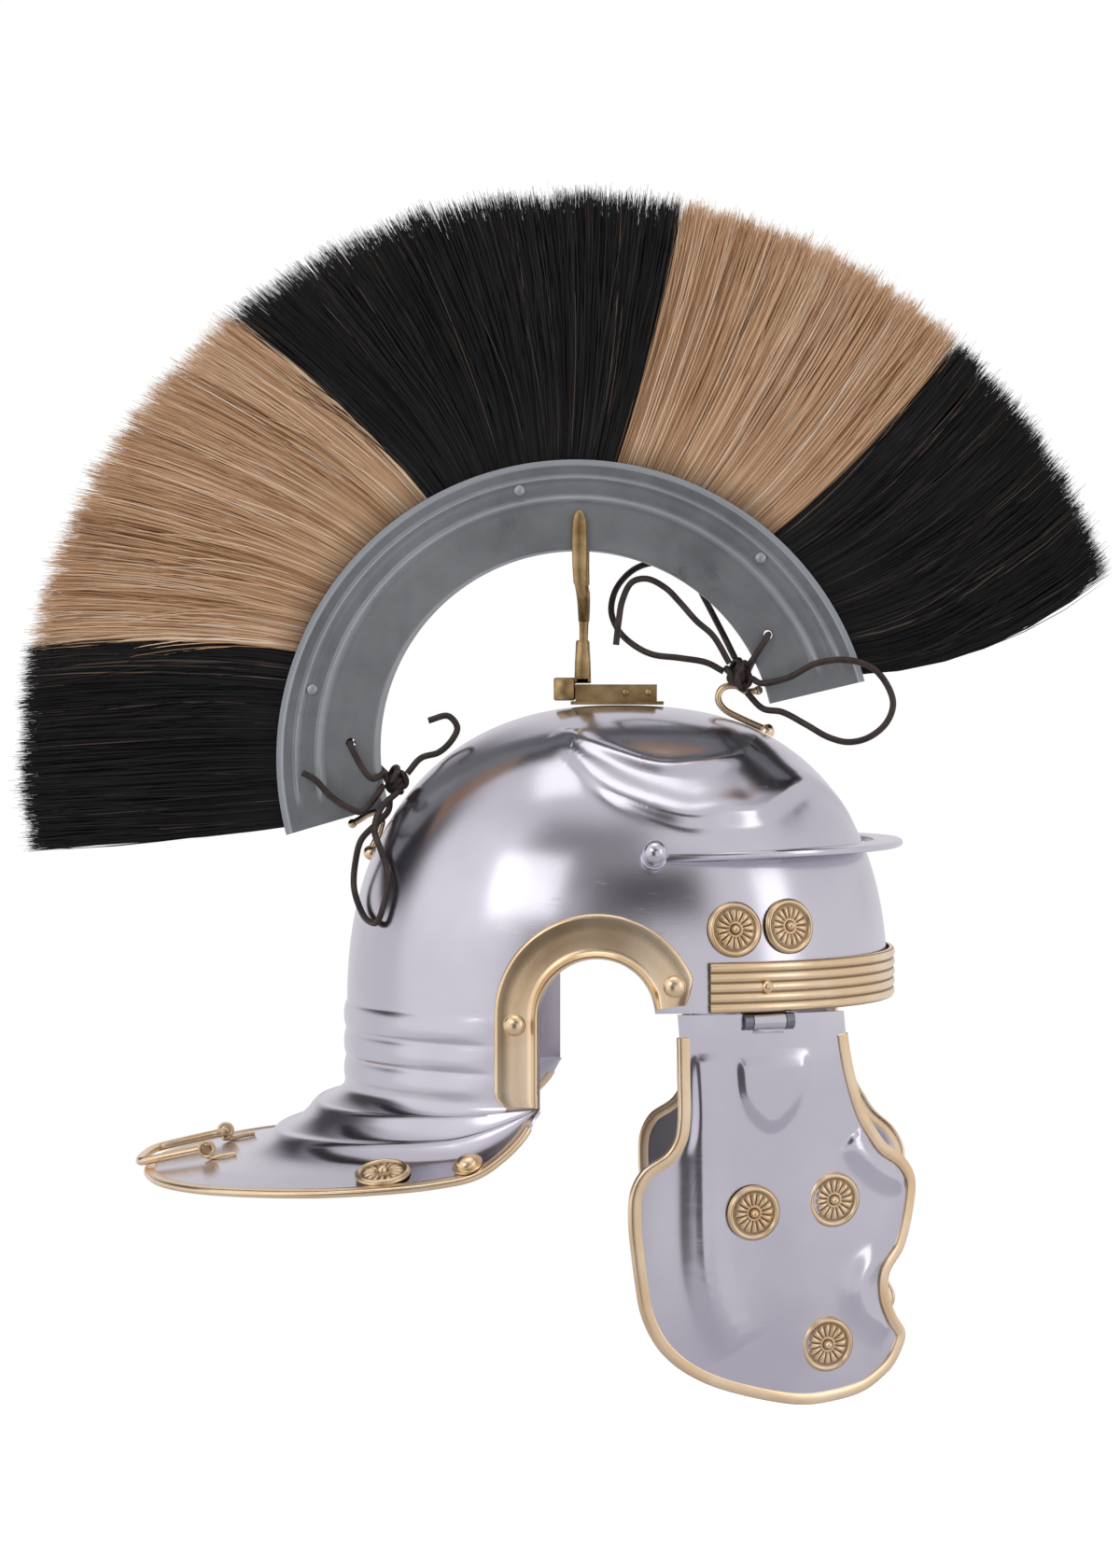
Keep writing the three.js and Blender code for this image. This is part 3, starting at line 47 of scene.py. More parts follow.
FULL_TURN = 2 * math.pi

# Sizes shared with the model

GAP = 0.35
STEEL = 1.2
BRASS_SHEET = 1.2
TRIM_SHEET = 0.6
TRIM_WIDTH = 5.0
BOWL_LENGTH, BOWL_WIDTH, BOWL_HEIGHT, BOWL_MIDDLE_X = 237.0, 200.0, 131.0, -1.5
RIM_Z, NAPE_DROP = 5.0, 38.0
PLAN_POWER, CROWN_POWER, CROWN_POWER_SHIFT = 2.2, 2.4, 0.1
EAR_X, EAR_Z, EAR_RADIUS, EAR_GUARD_BAND, EAR_LIP = -7.0, 3.5, 24.0, 18.5, 4.0
BAND_HEIGHT, BAND_RIBS, BAND_BODY, BAND_RIB = 21.0, 5, 1.4, 0.9
BAR_Z, BAR_THICK, BAR_REACH, BAR_SAG, BAR_END_X, BAR_RIVET = 70.0, 3.0, 16.0, 2.5, 20.0, 5.2
GUARD_LENGTH, GUARD_FLARE, GUARD_DROP = 89.0, 19.0, 37.0
HINGE_X, HINGE_Y, HINGE_Z, HINGE_TURN = 63.5, 86.2866, 1.0, 20.0
CHEEK_LEAN, CHEEK_CURVE, CHEEK_DROP, CHEEK_WIDTH, CHEEK_RISE = 2.5, 200.0, 166.5, 130.0, 3.1
CREST_X, CREST_Z = -19.7, 111.5
BOX_INNER, BOX_DEPTH, BOX_TOP_LOSS, BOX_WIDTH, BOX_SHEET = 87.3, 43.0, 4.0, 28.0, 1.0
BOX_FRONT_ANGLE, BOX_REAR_ANGLE = 13.5, 196.4
HAIR_RADIUS, HAIR_HALF_THICK = 243.0, 24.0
ROSETTE_RADIUS, WIRE, HANDLE_WIRE = 11.6, 1.5, 1.9
HANDLE_HALF, HANDLE_LENGTH = 27.0, 31.0
HANDLE_PIVOT = (-179.0, 0.0, -61.3709)
LACE = 1.4

# Camera

IMAGE_HEIGHT = 1680
FOCAL_PIXELS = 3902
SENSOR_MM = 36.0
TARGET = Vector((-26.7, 0.0, 96.4)) * MM
DISTANCE = 1.6
AZIMUTH, ELEVATION = math.radians(2.5), math.radians(2.0)


def put(name, data):
    """A new object in the scene."""
    made = bpy.data.objects.new(name, data)
    bpy.context.collection.objects.link(made)
    return made


def place_camera():
    lens = bpy.data.cameras.new("camera")
    lens.sensor_width = SENSOR_MM
    lens.lens = FOCAL_PIXELS / IMAGE_HEIGHT * SENSOR_MM
    lens.clip_end = 50.0
    camera = put("camera", lens)
    towards = Vector((math.sin(AZIMUTH) * math.cos(ELEVATION),
                      -math.cos(AZIMUTH) * math.cos(ELEVATION), math.sin(ELEVATION)))
    camera.location = TARGET + DISTANCE * towards
    camera.rotation_euler = towards.to_track_quat("Z", "Y").to_euler()
    bpy.context.scene.camera = camera


place_camera()


# Shader building

class Value:
    """A shader socket that takes part in sums."""

    def __init__(self, shader, socket):
        self.shader = shader
        self.socket = socket

    def math(self, operation, other=None, swapped=False):
        pair = (other, self) if swapped else (self, other)
        inputs = {k: value for k, value in enumerate(pair) if value is not None}
        return self.shader.add("ShaderNodeMath", {"operation": operation}, inputs)

    def __add__(self, other):
        return self.math("ADD", other)

    def __rsub__(self, other):
        return self.math("SUBTRACT", other, swapped=True)

    def __mul__(self, other):
        return self.math("MULTIPLY", other)

    __radd__ = __add__
    __rmul__ = __mul__

    def smooth(self, low, high):
        """0 below low, 1 above high, easing between."""
        return self.shader.add("ShaderNodeMapRange", {"interpolation_type": "SMOOTHSTEP"},
                               {0: self, 1: low, 2: high, 3: 0.0, 4: 1.0})


class Shader:
    """Builds a node tree from plain calls."""

    def __init__(self, tree):
        self.tree = tree
        tree.nodes.clear()

    def add(self, kind, settings=None, inputs=None, output=0):
        node = self.tree.nodes.new(kind)
        for key, value in (settings or {}).items():
            if key == "stops":
                set_stops(node.color_ramp, value)
            else:
                setattr(node, key, value)
        for key, value in (inputs or {}).items():
            if isinstance(value, Value):
                self.tree.links.new(value.socket, node.inputs[key])
            else:
                node.inputs[key].default_value = value
        return Value(self, node.outputs[output]) if node.outputs else None

    def mix(self, factor, first, second):
        return self.add("ShaderNodeMix", {"data_type": "RGBA"},
                        {0: factor, 6: first, 7: second}, output=2)

    def ramp(self, factor, stops):
        return self.add("ShaderNodeValToRGB", {"stops": stops}, {0: factor})

    def place(self, scale=(1.0, 1.0, 1.0)):
        """The piece's own coordinates in metres, stretched."""
        own = self.add("ShaderNodeTexCoord", output=3)
        return self.add("ShaderNodeVectorMath", {"operation": "MULTIPLY"}, {0: own, 1: scale})

    def noise(self, scale, detail=4.0, rough=0.55, stretch=(1.0, 1.0, 1.0)):
        return self.add("ShaderNodeTexNoise", {}, {
            "Vector": self.place(stretch), "Scale": scale, "Detail": detail, "Roughness": rough})

    def stored(self, name):
        return self.add("ShaderNodeAttribute", {"attribute_name": name}, output=2)

    def bump(self, height, distance, strength=1.0):
        return self.add("ShaderNodeBump", {}, {"Height": height, "Distance": distance,
                                               "Strength": strength})

    def surface(self, **sockets):
        names = {key.replace("_", " "): value for key, value in sockets.items()}
        body = self.add("ShaderNodeBsdfPrincipled", {}, names)
        self.add("ShaderNodeOutputMaterial", {}, {"Surface": body})


def set_stops(ramp, stops):
    while len(ramp.elements) > 1:
        ramp.elements.remove(ramp.elements[-1])
    for k, (place, colour) in enumerate(stops):
        element = ramp.elements[0] if k == 0 else ramp.elements.new(place)
        element.position = place
        element.color = (*colour, 1.0)


def new_material(name):
    material = bpy.data.materials.new(name)
    material.use_nodes = True
    return material, Shader(material.node_tree)


# Materials

def polished_steel():
    material, s = new_material("polished_steel")
    cloud = s.noise(14.0, 3.0)
    grain = s.noise(900.0, 2.0, 0.6, (0.25, 0.25, 3.0))
    scuffs = s.noise(60.0, 6.0, 0.75, (1.0, 1.0, 5.0)).smooth(0.58, 0.75)
    colour = s.mix(cloud.smooth(0.35, 0.7), (0.60, 0.58, 0.64, 1), (0.68, 0.665, 0.72, 1))
    rough = 0.13 + cloud * 0.08 + scuffs * 0.10 + grain * 0.05
    s.surface(Base_Color=colour, Metallic=1.0, Roughness=rough,
              Normal=s.bump(grain * 0.6 + scuffs * 0.4, 0.00004, 0.35))
    return material


def bright_brass():
    material, s = new_material("bright_brass")
    cloud = s.noise(35.0, 4.0)
    grain = s.noise(700.0, 3.0, 0.6)
    # Painted shade: the "low" mark darkens the brass towards dark brown in its recesses, in the
    # gaps between the brow band's ribs and round the rosettes' petals, edge and foot.
    low = s.stored("low")
    colour = s.mix(cloud.smooth(0.3, 0.75), (0.83, 0.61, 0.37, 1), (0.96, 0.78, 0.55, 1))
    colour = s.mix(low.smooth(0.05, 1.0) * 0.85, colour, (0.20, 0.115, 0.045, 1))
    s.surface(Base_Color=colour, Metallic=1.0, Roughness=0.20 + cloud * 0.12 + low * 0.2,
              Normal=s.bump(grain, 0.00005, 0.3))
    return material


def old_brass():
    material, s = new_material("old_brass")
    cloud = s.noise(60.0, 5.0, 0.65)
    grain = s.noise(900.0, 3.0, 0.6)
    colour = s.mix(cloud.smooth(0.35, 0.65), (0.30, 0.195, 0.085, 1), (0.56, 0.40, 0.20, 1))
    s.surface(Base_Color=colour, Metallic=1.0, Roughness=0.30 + cloud * 0.2,
              Normal=s.bump(grain, 0.00008, 0.4))
    return material


def sheet_steel():
    material, s = new_material("sheet_steel")
    cloud = s.noise(18.0, 5.0, 0.6)
    streak = s.noise(220.0, 4.0, 0.65, (1.0, 1.0, 0.35))
    smudge = s.noise(30.0, 6.0, 0.7).smooth(0.62, 0.74)
    # The "edge" mark lightens the box's rim and bead crests: painted highlight, partly also their
    # polish. The rivet heads get the same lighter tone.
    edge = s.stored("edge")
    colour = s.mix(cloud.smooth(0.3, 0.7), (0.20, 0.215, 0.22, 1), (0.33, 0.345, 0.35, 1))
    colour = s.mix(edge * 0.75, colour, (0.56, 0.60, 0.62, 1))
    colour = s.mix(smudge * 0.5, colour, (0.09, 0.10, 0.105, 1))
    s.surface(Base_Color=colour, Metallic=0.85, Roughness=0.36 + streak * 0.14 + cloud * 0.06,
              Normal=s.bump(streak, 0.00006, 0.35))
    return material


def hinge_steel():
    material, s = new_material("hinge_steel")
    cloud = s.noise(90.0, 4.0)
    colour = s.mix(cloud, (0.16, 0.165, 0.18, 1), (0.34, 0.34, 0.37, 1))
    s.surface(Base_Color=colour, Metallic=1.0, Roughness=0.26 + cloud * 0.2,
              Normal=s.bump(cloud, 0.00006, 0.4))
    return material


def hair(name, stops, sheen):
    material, s = new_material(name)
    tone = s.stored("tone")
    along = s.stored("along")
    colour = s.ramp(tone, stops)
    # Painted shade at the roots: each strand is darkened near the box, where the hair shades
    # itself.
    root = (1.0 - along.smooth(0.0, 0.16)) * 0.6
    colour = s.mix(root, colour, (*(0.35 * c for c in stops[0][1]), 1))
    s.surface(Base_Color=colour, Roughness=0.42 + tone * 0.16, Specular_IOR_Level=sheen)
    return material


def laced_leather():
    material, s = new_material("laced_leather")
    cloud = s.noise(160.0, 4.0, 0.6)
    grain = s.noise(1500.0, 4.0, 0.65)
    colour = s.mix(cloud.smooth(0.3, 0.7), (0.020, 0.013, 0.011, 1), (0.060, 0.038, 0.030, 1))
    s.surface(Base_Color=colour, Roughness=0.38 + grain * 0.2, Normal=s.bump(grain, 0.0001, 0.5))
    return material


STEEL_LOOK = polished_steel()
BRASS_LOOK = bright_brass()
OLD_BRASS_LOOK = old_brass()
SHEET_LOOK = sheet_steel()
HINGE_LOOK = hinge_steel()
LEATHER_LOOK = laced_leather()
TAN_LOOK = hair("tan_hair", [
    (0.00, (0.22, 0.105, 0.043)), (0.28, (0.56, 0.32, 0.155)), (0.62, (0.83, 0.55, 0.325)),
    (1.00, (1.0, 0.84, 0.63))], 0.35)
BLACK_LOOK = hair("black_hair", [
    (0.00, (0.0022, 0.0020, 0.0022)), (0.55, (0.006, 0.0055, 0.006)), (0.85, (0.016, 0.013, 0.012)),
    (1.00, (0.16, 0.11, 0.075))], 0.30)
SLOTS = {"polished_steel": STEEL_LOOK, "brass": BRASS_LOOK, "old_brass": OLD_BRASS_LOOK,
         "sheet_steel": SHEET_LOOK, "tan_hair": TAN_LOOK, "black_hair": BLACK_LOOK,
         "leather": LEATHER_LOOK}


# Mesh building

def piece(name, points, faces, slot, nodes=(), body="root", marks=None, sharp=38):
    """A mesh piece from points in millimetres, riding on a body and standing for CAD nodes."""
    mesh = bpy.data.meshes.new(name)
    mesh.from_pydata((np.asarray(points) * MM).tolist(), [], [tuple(map(int, f)) for f in faces])
    for key, values in (marks or {}).items():
        attribute = mesh.attributes.new(key, "FLOAT", "POINT")
        attribute.data.foreach_set("value", np.asarray(values, dtype=np.float32))
    mesh.shade_smooth()
    if sharp:
        mesh.set_sharp_from_angle(angle=math.radians(sharp))
    mesh.materials.append(SLOTS[slot])
    made = put(name, mesh)
    settle(made, nodes, body)
    return made


def settle(made, nodes, body):
    """Ties an object to its body and the CAD nodes that it stands for."""
    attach(made, body)
    if nodes:
        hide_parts(*nodes)


def sweep(rings, capped=True):
    """Points and faces through closed rings."""
    rings = np.asarray(rings, dtype=float)
    count, size = rings.shape[:2]
    faces = []
    for i in range(count - 1):
        for j in range(size):
            a, b = i * size + j, i * size + (j + 1) % size
            faces.append((a, b, b + size, a + size))
    if capped:
        faces.append(tuple(range(size))[::-1])
        faces.append(tuple((count - 1) * size + j for j in range(size)))
    return outward(rings.reshape(-1, 3), faces)


def outward(points, faces):
    """Turns all the faces of a closed body outward."""
    points = np.asarray(points)
    volume = 0.0
    for face in faces:
        a = points[face[0]]
        for k in range(1, len(face) - 1):
            volume += float(np.dot(a, np.cross(points[face[k]], points[face[k + 1]])))
    return points, faces if volume > 0 else [tuple(reversed(face)) for face in faces]


def joined(*parts):
    """Several bodies as one set of points and faces."""
    points, faces, start = [], [], 0
    for part_points, part_faces in parts:
        points.append(np.asarray(part_points))
        faces += [tuple(start + k for k in face) for face in part_faces]
        start += len(part_points)
    return np.vstack(points), faces


def thicken(points, faces, normals, thickness):
    """A sheet's outer skin given its inner skin and the strip between them."""
    count = len(points)
    inner = points - normals * thickness
    edges = {}
    for face in faces:
        for a, b in zip(face, face[1:] + face[:1]):
            edges[(a, b)] = True
    rim = [(b, a, a + count, b + count) for a, b in edges if (b, a) not in edges]
    backs = [tuple(k + count for k in reversed(face)) for face in faces]
    return np.vstack([points, inner]), faces + backs + rim


def steel_sheet(points, faces, spot, outside):
    """A skin thickened inward, once it faces outside at one of its points."""
    normals = vertex_normals(points, faces)
    if normals[spot] @ outside < 0:
        faces = [tuple(reversed(face)) for face in faces]
        normals = -normals
    return thicken(points, faces, normals, STEEL)


def vertex_normals(points, faces):
    points = np.asarray(points)
    quads = np.array([face if len(face) == 4 else (*face, face[-1]) for face in faces])
    across = np.cross(points[quads[:, 2]] - points[quads[:, 0]],
                      points[quads[:, 3]] - points[quads[:, 1]])
    total = np.zeros_like(points)
    for k in range(4):
        np.add.at(total, quads[:, k], across)
    return total / np.maximum(np.linalg.norm(total, axis=1), 1e-12)[:, None]


def unit(v):
    v = np.asarray(v, dtype=float)
    return v / np.maximum(np.linalg.norm(v, axis=-1, keepdims=True), 1e-12)


def ease(t):
    t = np.clip(t, 0, 1)
    return t * t * (3 - 2 * t)


def through(points, steps):
    """A smooth centripetal curve through points, with so many steps between each two."""
    p = np.asarray(points, dtype=float)
    p = np.vstack([2 * p[0] - p[1], p, 2 * p[-1] - p[-2]])
    found = []
    for k in range(len(p) - 3):
        a, b, c, d = p[k:k + 4]
        t0 = 0.0
        t1 = t0 + math.sqrt(np.linalg.norm(b - a)) + 1e-9
        t2 = t1 + math.sqrt(np.linalg.norm(c - b)) + 1e-9
        t3 = t2 + math.sqrt(np.linalg.norm(d - c)) + 1e-9
        for i in range(steps):
            t = t1 + (t2 - t1) * i / steps
            ab = ((t1 - t) * a + (t - t0) * b) / (t1 - t0)
            bc = ((t2 - t) * b + (t - t1) * c) / (t2 - t1)
            cd = ((t3 - t) * c + (t - t2) * d) / (t3 - t2)
            abc = ((t2 - t) * ab + (t - t0) * bc) / (t2 - t0)
            bcd = ((t3 - t) * bc + (t - t1) * cd) / (t3 - t1)
            found.append(((t2 - t) * abc + (t - t1) * bcd) / (t2 - t1))
    found.append(p[-2])
    return np.array(found)


def tube(path, radius, sides=12, closed=False):
    """A round wire along a path. The radius may be one number or one for each point."""
    path = np.asarray(path, dtype=float)
    count = len(path)
    if closed:
        along = unit(np.roll(path, -1, axis=0) - np.roll(path, 1, axis=0))
    else:
        along = unit(np.gradient(path, axis=0))
    side = np.cross(along[0], (0.3, 0.9, 0.2))
    turns = np.linspace(0, FULL_TURN, sides, endpoint=False)
    radii = np.broadcast_to(radius, (count,))
    rings = []
    for k in range(count):
        side = unit(side - np.dot(side, along[k]) * along[k])
        up = np.cross(along[k], side)
        spokes = np.cos(turns)[:, None] * side + np.sin(turns)[:, None] * up
        rings.append(path[k] + radii[k] * spokes)
    if closed:
        rings.append(rings[0])
    return sweep(rings, capped=not closed)


def lathe(profile, sides=40):
    """A turned body: radius and height pairs from the foot's middle to the top's middle."""
    points, faces = [(0.0, 0.0, profile[0][1])], []
    rows = profile[1:-1]
    turns = np.linspace(0, FULL_TURN, sides, endpoint=False)
    for radius, z in rows:
        points += [(radius * math.cos(t), radius * math.sin(t), z) for t in turns]
    points.append((0.0, 0.0, profile[-1][1]))
    top = len(points) - 1
    for j in range(sides):
        k = (j + 1) % sides
        faces.append((0, 1 + k, 1 + j))
        for i in range(len(rows) - 1):
            a, b = 1 + i * sides, 1 + (i + 1) * sides
            faces.append((a + j, a + k, b + k, b + j))
        last = 1 + (len(rows) - 1) * sides
        faces.append((last + j, last + k, top))
    return np.array(points), faces


def dome(radius, height, steps=8):
    rim = [(radius, 0.0), (radius, 0.12 * height)]
    curve = [(radius * math.cos(t), height * (0.12 + 0.88 * math.sin(t)))
             for t in np.linspace(0, math.pi / 2, steps)[1:-1]]
    return lathe([(0, 0.0), *rim, *curve, (0, height)])


def seated(part, point, normal):
    """Turns a body made along +Z onto a point with a normal."""
    turn = Vector((0, 0, 1)).rotation_difference(Vector(normal)).to_matrix()
    points = np.asarray(part[0]) @ np.array(turn).T + np.asarray(point)
    return points, part[1]


def block(low, high, bevel):
    """A box with softened edges, as rings along X."""
    (x0, y0, z0), (x1, y1, z1) = low, high
    rings = []
    for x, inset in ((x0, bevel), (x0 + bevel, 0), (x1 - bevel, 0), (x1, bevel)):
        a, b, c, d = y0 + inset, y1 - inset, z0 + inset, z1 - inset
        e = bevel
        rings.append([(x, a + e, c), (x, b - e, c), (x, b, c + e), (x, b, d - e),
                      (x, b - e, d), (x, a + e, d), (x, a, d - e), (x, a, c + e)])
    return sweep(rings)


# Laces: the model's own routes

FRONT_KNOT = ((52, -8, 144.5), (6.5, 8, 7.5))
REAR_KNOT = ((-98.5, -9, 97.5), (6, 7.5, 6.5))
LACE_ROUTES = {
    "lace_front_loop": [
        (57.3, -14.2, 142.8), (61.5, -17.8, 140.8), (73.1, -21.0, 143.3), (84.6, -24.0, 149.3),
        (97.4, -26.0, 150.9), (108.6, -27.0, 147.7), (115.0, -27.0, 140.5), (117.8, -27.0, 132.1),
        (115.1, -26.0, 124.0), (107.6, -25.0, 117.6), (98.8, -24.0, 115.5), (90.4, -23.0, 117.5),
        (80.4, -20.0, 123.1), (70.4, -15.0, 128.3), (62.0, -11.0, 129.8), (55.2, -9.6, 136.6)],
    "lace_front_bow": [
        (45.1, -8.0, 145.8), (37.6, -8.0, 149.7), (26.2, -7.0, 151.7), (13.9, -5.0, 153.3),
        (5.7, -2.0, 157.4), (-0.9, 1.0, 163.6), (-4.3, 5.0, 171.8), (-3.2, 9.0, 180.1),
        (0.8, 14.0, 186.8), (6.9, 18.0, 191.8), (14.7, 19.5, 193.9), (24.2, 19.5, 191.8),
        (32.5, 19.0, 185.2), (36.6, 18.0, 178.0), (41.0, 10.0, 169.5), (45.7, -2.0, 160.3),
        (49.9, -5.3, 151.8)],
    "lace_front_tail": [
        (47.5, -11.9, 149.5), (40.4, -14.0, 161.4), (33.1, -13.0, 167.9), (26.2, -11.0, 175.7),
        (19.7, -10.0, 182.2), (11.5, -9.0, 186.2), (5.0, -8.0, 184.7), (0.9, -8.0, 176.9),
        (-0.7, -8.0, 168.0), (-1.9, -8.0, 157.4)],
    "lace_front_tie_right": [
        (64.4, -13.4, 161.9), (64.3, -16.0, 161.6), (63.0, -17.8, 159.4), (57.6, -17.2, 151.0),
        (55.9, -14.4, 148.8)],
    "lace_front_tie_left": [
        (64.4, 13.4, 161.9), (64.3, 16.2, 161.6), (63.0, 18.0, 159.4), (57.4, 17.8, 149.3),
        (55.5, 13.0, 145.5), (53.2, 1.2, 145.8)],
    "lace_rear_loop": [
        (-100.6, -11.8, 90.9), (-101.0, -14.2, 85.3), (-106.0, -18.5, 79.5), (-112.2, -22.0, 72.7),
        (-114.5, -24.0, 63.5), (-115.0, -27.0, 53.5), (-111.4, -38.4, 44.6), (-106.7, -50.4, 39.8),
        (-102.0, -57.6, 39.6), (-99.1, -58.8, 46.8), (-97.6, -57.6, 54.3), (-98.5, -51.6, 61.5),
        (-102.0, -39.6, 69.2), (-105.6, -31.0, 77.6), (-103.5, -23.0, 86.5), (-96.9, -15.3, 93.3)],
    "lace_rear_tail_out": [
        (-103.0, -15.2, 96.2), (-106.8, -18.4, 90.6), (-112.4, -19.5, 84.8), (-119.3, -20.0, 87.2),
        (-126.2, -20.0, 92.1), (-132.3, -20.0, 98.6), (-138.0, -20.0, 101.8)],
    "lace_rear_tail_in": [
        (-93.1, -11.0, 101.2), (-87.1, -10.0, 108.0), (-79.3, -10.0, 110.5), (-73.6, -10.0, 115.8),
        (-71.2, -10.0, 121.5), (-75.2, -10.0, 126.4), (-83.8, -10.0, 124.4)],
    "lace_rear_tie_right": [
        (-117.5, -13.4, 114.7), (-117.4, -16.5, 114.4), (-116.4, -18.4, 112.0),
        (-108.0, -18.2, 99.4), (-102.4, -15.3, 101.6)],
    "lace_rear_tie_left": [
        (-117.5, 13.4, 114.7), (-117.4, 16.9, 114.4), (-116.4, 18.8, 112.0), (-109.5, 18.4, 104.5),
        (-102.3, 16.6, 98.0), (-99.3, -0.4, 98.3)],
}
LACE_STEPS, LACE_SIDES = 8, 12
# Turns of a knot: what each goes round, and its size
KNOT_TURNS = (((1, 0.25, 0.2), 1.0), ((0.3, 1, -0.35), 0.8), ((0.5, -0.5, 1), 0.95),
              ((-0.6, 0.55, 0.7), 0.72), ((0.9, -0.7, -0.9), 0.88))
KNOT_SLACK = 1.3
SHORT_TIES = ("lace_front_tie_right", "lace_rear_tie_right")


def knot_piece(name, centre, radii, seed):
    """A pulled knot: turns of the lace laid over each other round a small core."""
    rolls = random.Random(seed)
    core = round_ball(1.0)
    parts = [(np.asarray(centre) + core[0] * (np.array(radii) * 0.55), core[1])]
    for axis, size in KNOT_TURNS:
        turn = Vector((0, 0, 1)).rotation_difference(Vector(axis))
        shift = [rolls.uniform(-KNOT_SLACK, KNOT_SLACK) for _ in range(3)]
        ring = []
        for k in range(32):
            t = FULL_TURN * k / 32
            p = turn @ Vector((1.1 * math.cos(t), 0.78 * math.sin(t), 0.30 * math.sin(2 * t + 0.6)))
            ring.append([c + d + v * size * (r - 1.5)
                         for c, d, v, r in zip(centre, shift, p, radii)])
        parts.append(tube(ring, LACE, 10, closed=True))
    return piece(name, *joined(*parts), "leather", nodes=[f"{name}_knot"])


def round_ball(radius):
    rows = [(radius * math.sin(t), -radius * math.cos(t)) for t in np.linspace(0, math.pi, 12)]
    return lathe([(0, rows[0][1]), *rows[1:-1], (0, rows[-1][1])], 20)


def make_laces():
    knots = {"lace_front": knot_piece("lace_front", *FRONT_KNOT, 3),
             "lace_rear": knot_piece("lace_rear", *REAR_KNOT, 5)}
    stubs = [piece(f"{tie}_lace", *tube(through(LACE_ROUTES[tie], LACE_STEPS), LACE, LACE_SIDES),
                   "leather", nodes=[tie]) for tie in SHORT_TIES]
    for name, route in LACE_ROUTES.items():
        if name in SHORT_TIES:
            continue
        path = through(route, LACE_STEPS) * MM
        line = bpy.data.curves.new(f"{name}_lace", "CURVE")
        line.dimensions = "3D"
        line.bevel_depth = LACE * MM
        line.bevel_resolution = 4
        line.use_fill_caps = True
        spline = line.splines.new("POLY")
        spline.points.add(len(path) - 1)
        spline.points.foreach_set("co", np.hstack([path, np.ones((len(path), 1))]).ravel())
        line.materials.append(LEATHER_LOOK)
        lace = put(f"{name}_lace", line)
        settle(lace, [name], "root")


make_laces()


# Bowl surface

HALVINGS = 40


def bowl_power(share):
    return CROWN_POWER + CROWN_POWER_SHIFT * share


def bowl_field(p):
    u = (p[..., 0] - BOWL_MIDDLE_X) / (BOWL_LENGTH / 2)
    v = np.abs(p[..., 1]) / (BOWL_WIDTH / 2)
    reach = (np.abs(u) ** PLAN_POWER + v ** PLAN_POWER) ** (1 / PLAN_POWER)
    power = bowl_power(u / np.maximum(reach, 1e-6))
    return reach ** power + (np.maximum(p[..., 2], 0) / BOWL_HEIGHT) ** power - 1


def bowl_normal(p):
    p = np.asarray(p, dtype=float)
    slopes = []
    for axis in range(3):
        step = np.zeros(3)
        step[axis] = 0.01
        slopes.append(bowl_field(p + step) - bowl_field(p - step))
    return unit(np.stack(slopes, axis=-1))


def wall(angle, z):
    """Points of the wall at plan angles from the brow and heights."""
    angle, z = np.broadcast_arrays(np.asarray(angle, float), np.asarray(z, float))
    share = [np.sign(c) * np.abs(c) ** (2 / PLAN_POWER) for c in (np.cos(angle), np.sin(angle))]
    power = bowl_power(share[0])
    height = np.clip(z / BOWL_HEIGHT, 0, 1)
    inset = (1 - height ** power) ** (1 / power)
    return np.stack([BOWL_MIDDLE_X + inset * share[0] * BOWL_LENGTH / 2,
                     inset * share[1] * BOWL_WIDTH / 2, z], axis=-1)


def bowl_meet(start, direction, lift=0.0):
    """Where a line from the middle meets the bowl, lifted off along the normal."""
    near, far = 0.0, BOWL_LENGTH
    start, direction = np.array(start, float), np.array(direction, float)
    for _ in range(HALVINGS):
        half = (near + far) / 2
        if bowl_field(start + direction * half) < 0:
            near = half
        else:
            far = half
    p = start + direction * near
    return p + bowl_normal(p) * lift


def bowl_side(x, z, side, lift=0.0):
    return bowl_meet((x, 0, z), (0, side, 0), lift)


def bowl_top(x, y, lift=0.0):
    return bowl_meet((x, y, 0), (0, 0, 1), lift)


def pressed(points, normals, line, height, inner, outer, sign=1, taper=0.6):
    """Height of a pressed edge near a line: gentle on one side and steep on the other."""
    gap = points[:, None, :] - line[None, :, :]
    far = (gap ** 2).sum(-1)
    k = far.argmin(1)
    rows = np.arange(len(points))
    along = unit(np.gradient(line, axis=0))[k]
    side = (np.cross(along, normals) * gap[rows, k]).sum(-1) * sign
    width = np.where(side > 0, inner, outer)
    ends = np.sin(math.pi * np.clip(k / (len(line) - 1), 0, 1)) ** taper
    return height * ends * np.exp(-far[rows, k] / width ** 2)


# Places of the pressed brows on the right side, as shares of the half length and half width
BROWS = [
    {"height": 2.1, "inner": 3.6, "outer": 3.6, "rows": [
        (-0.20, 0.43), (-0.12, 0.53), (-0.02, 0.61), (0.165, 0.67), (0.35, 0.60), (0.43, 0.52),
        (0.50, 0.38)]},
    {"height": 3.0, "inner": 9.0, "outer": 4.3, "rows": [
        (-0.21, 0.46), (-0.14, 0.60), (-0.02, 0.75), (0.13, 0.80), (0.28, 0.80), (0.40, 0.75),
        (0.50, 0.69), (0.58, 0.58), (0.68, 0.37), (0.77, 0.23), (0.87, 0.09)]},
]


def brow_height(points, normals):
    total = np.zeros(len(points))
    for side, _ in SIDES:
        for brow in BROWS:
            line = [bowl_top(BOWL_MIDDLE_X + a * BOWL_LENGTH / 2, side * b * BOWL_WIDTH / 2)
                    for a, b in brow["rows"]]
            total += pressed(points, normals, through(line, 10), brow["height"],
                             brow["inner"], brow["outer"], sign=side)
    return total


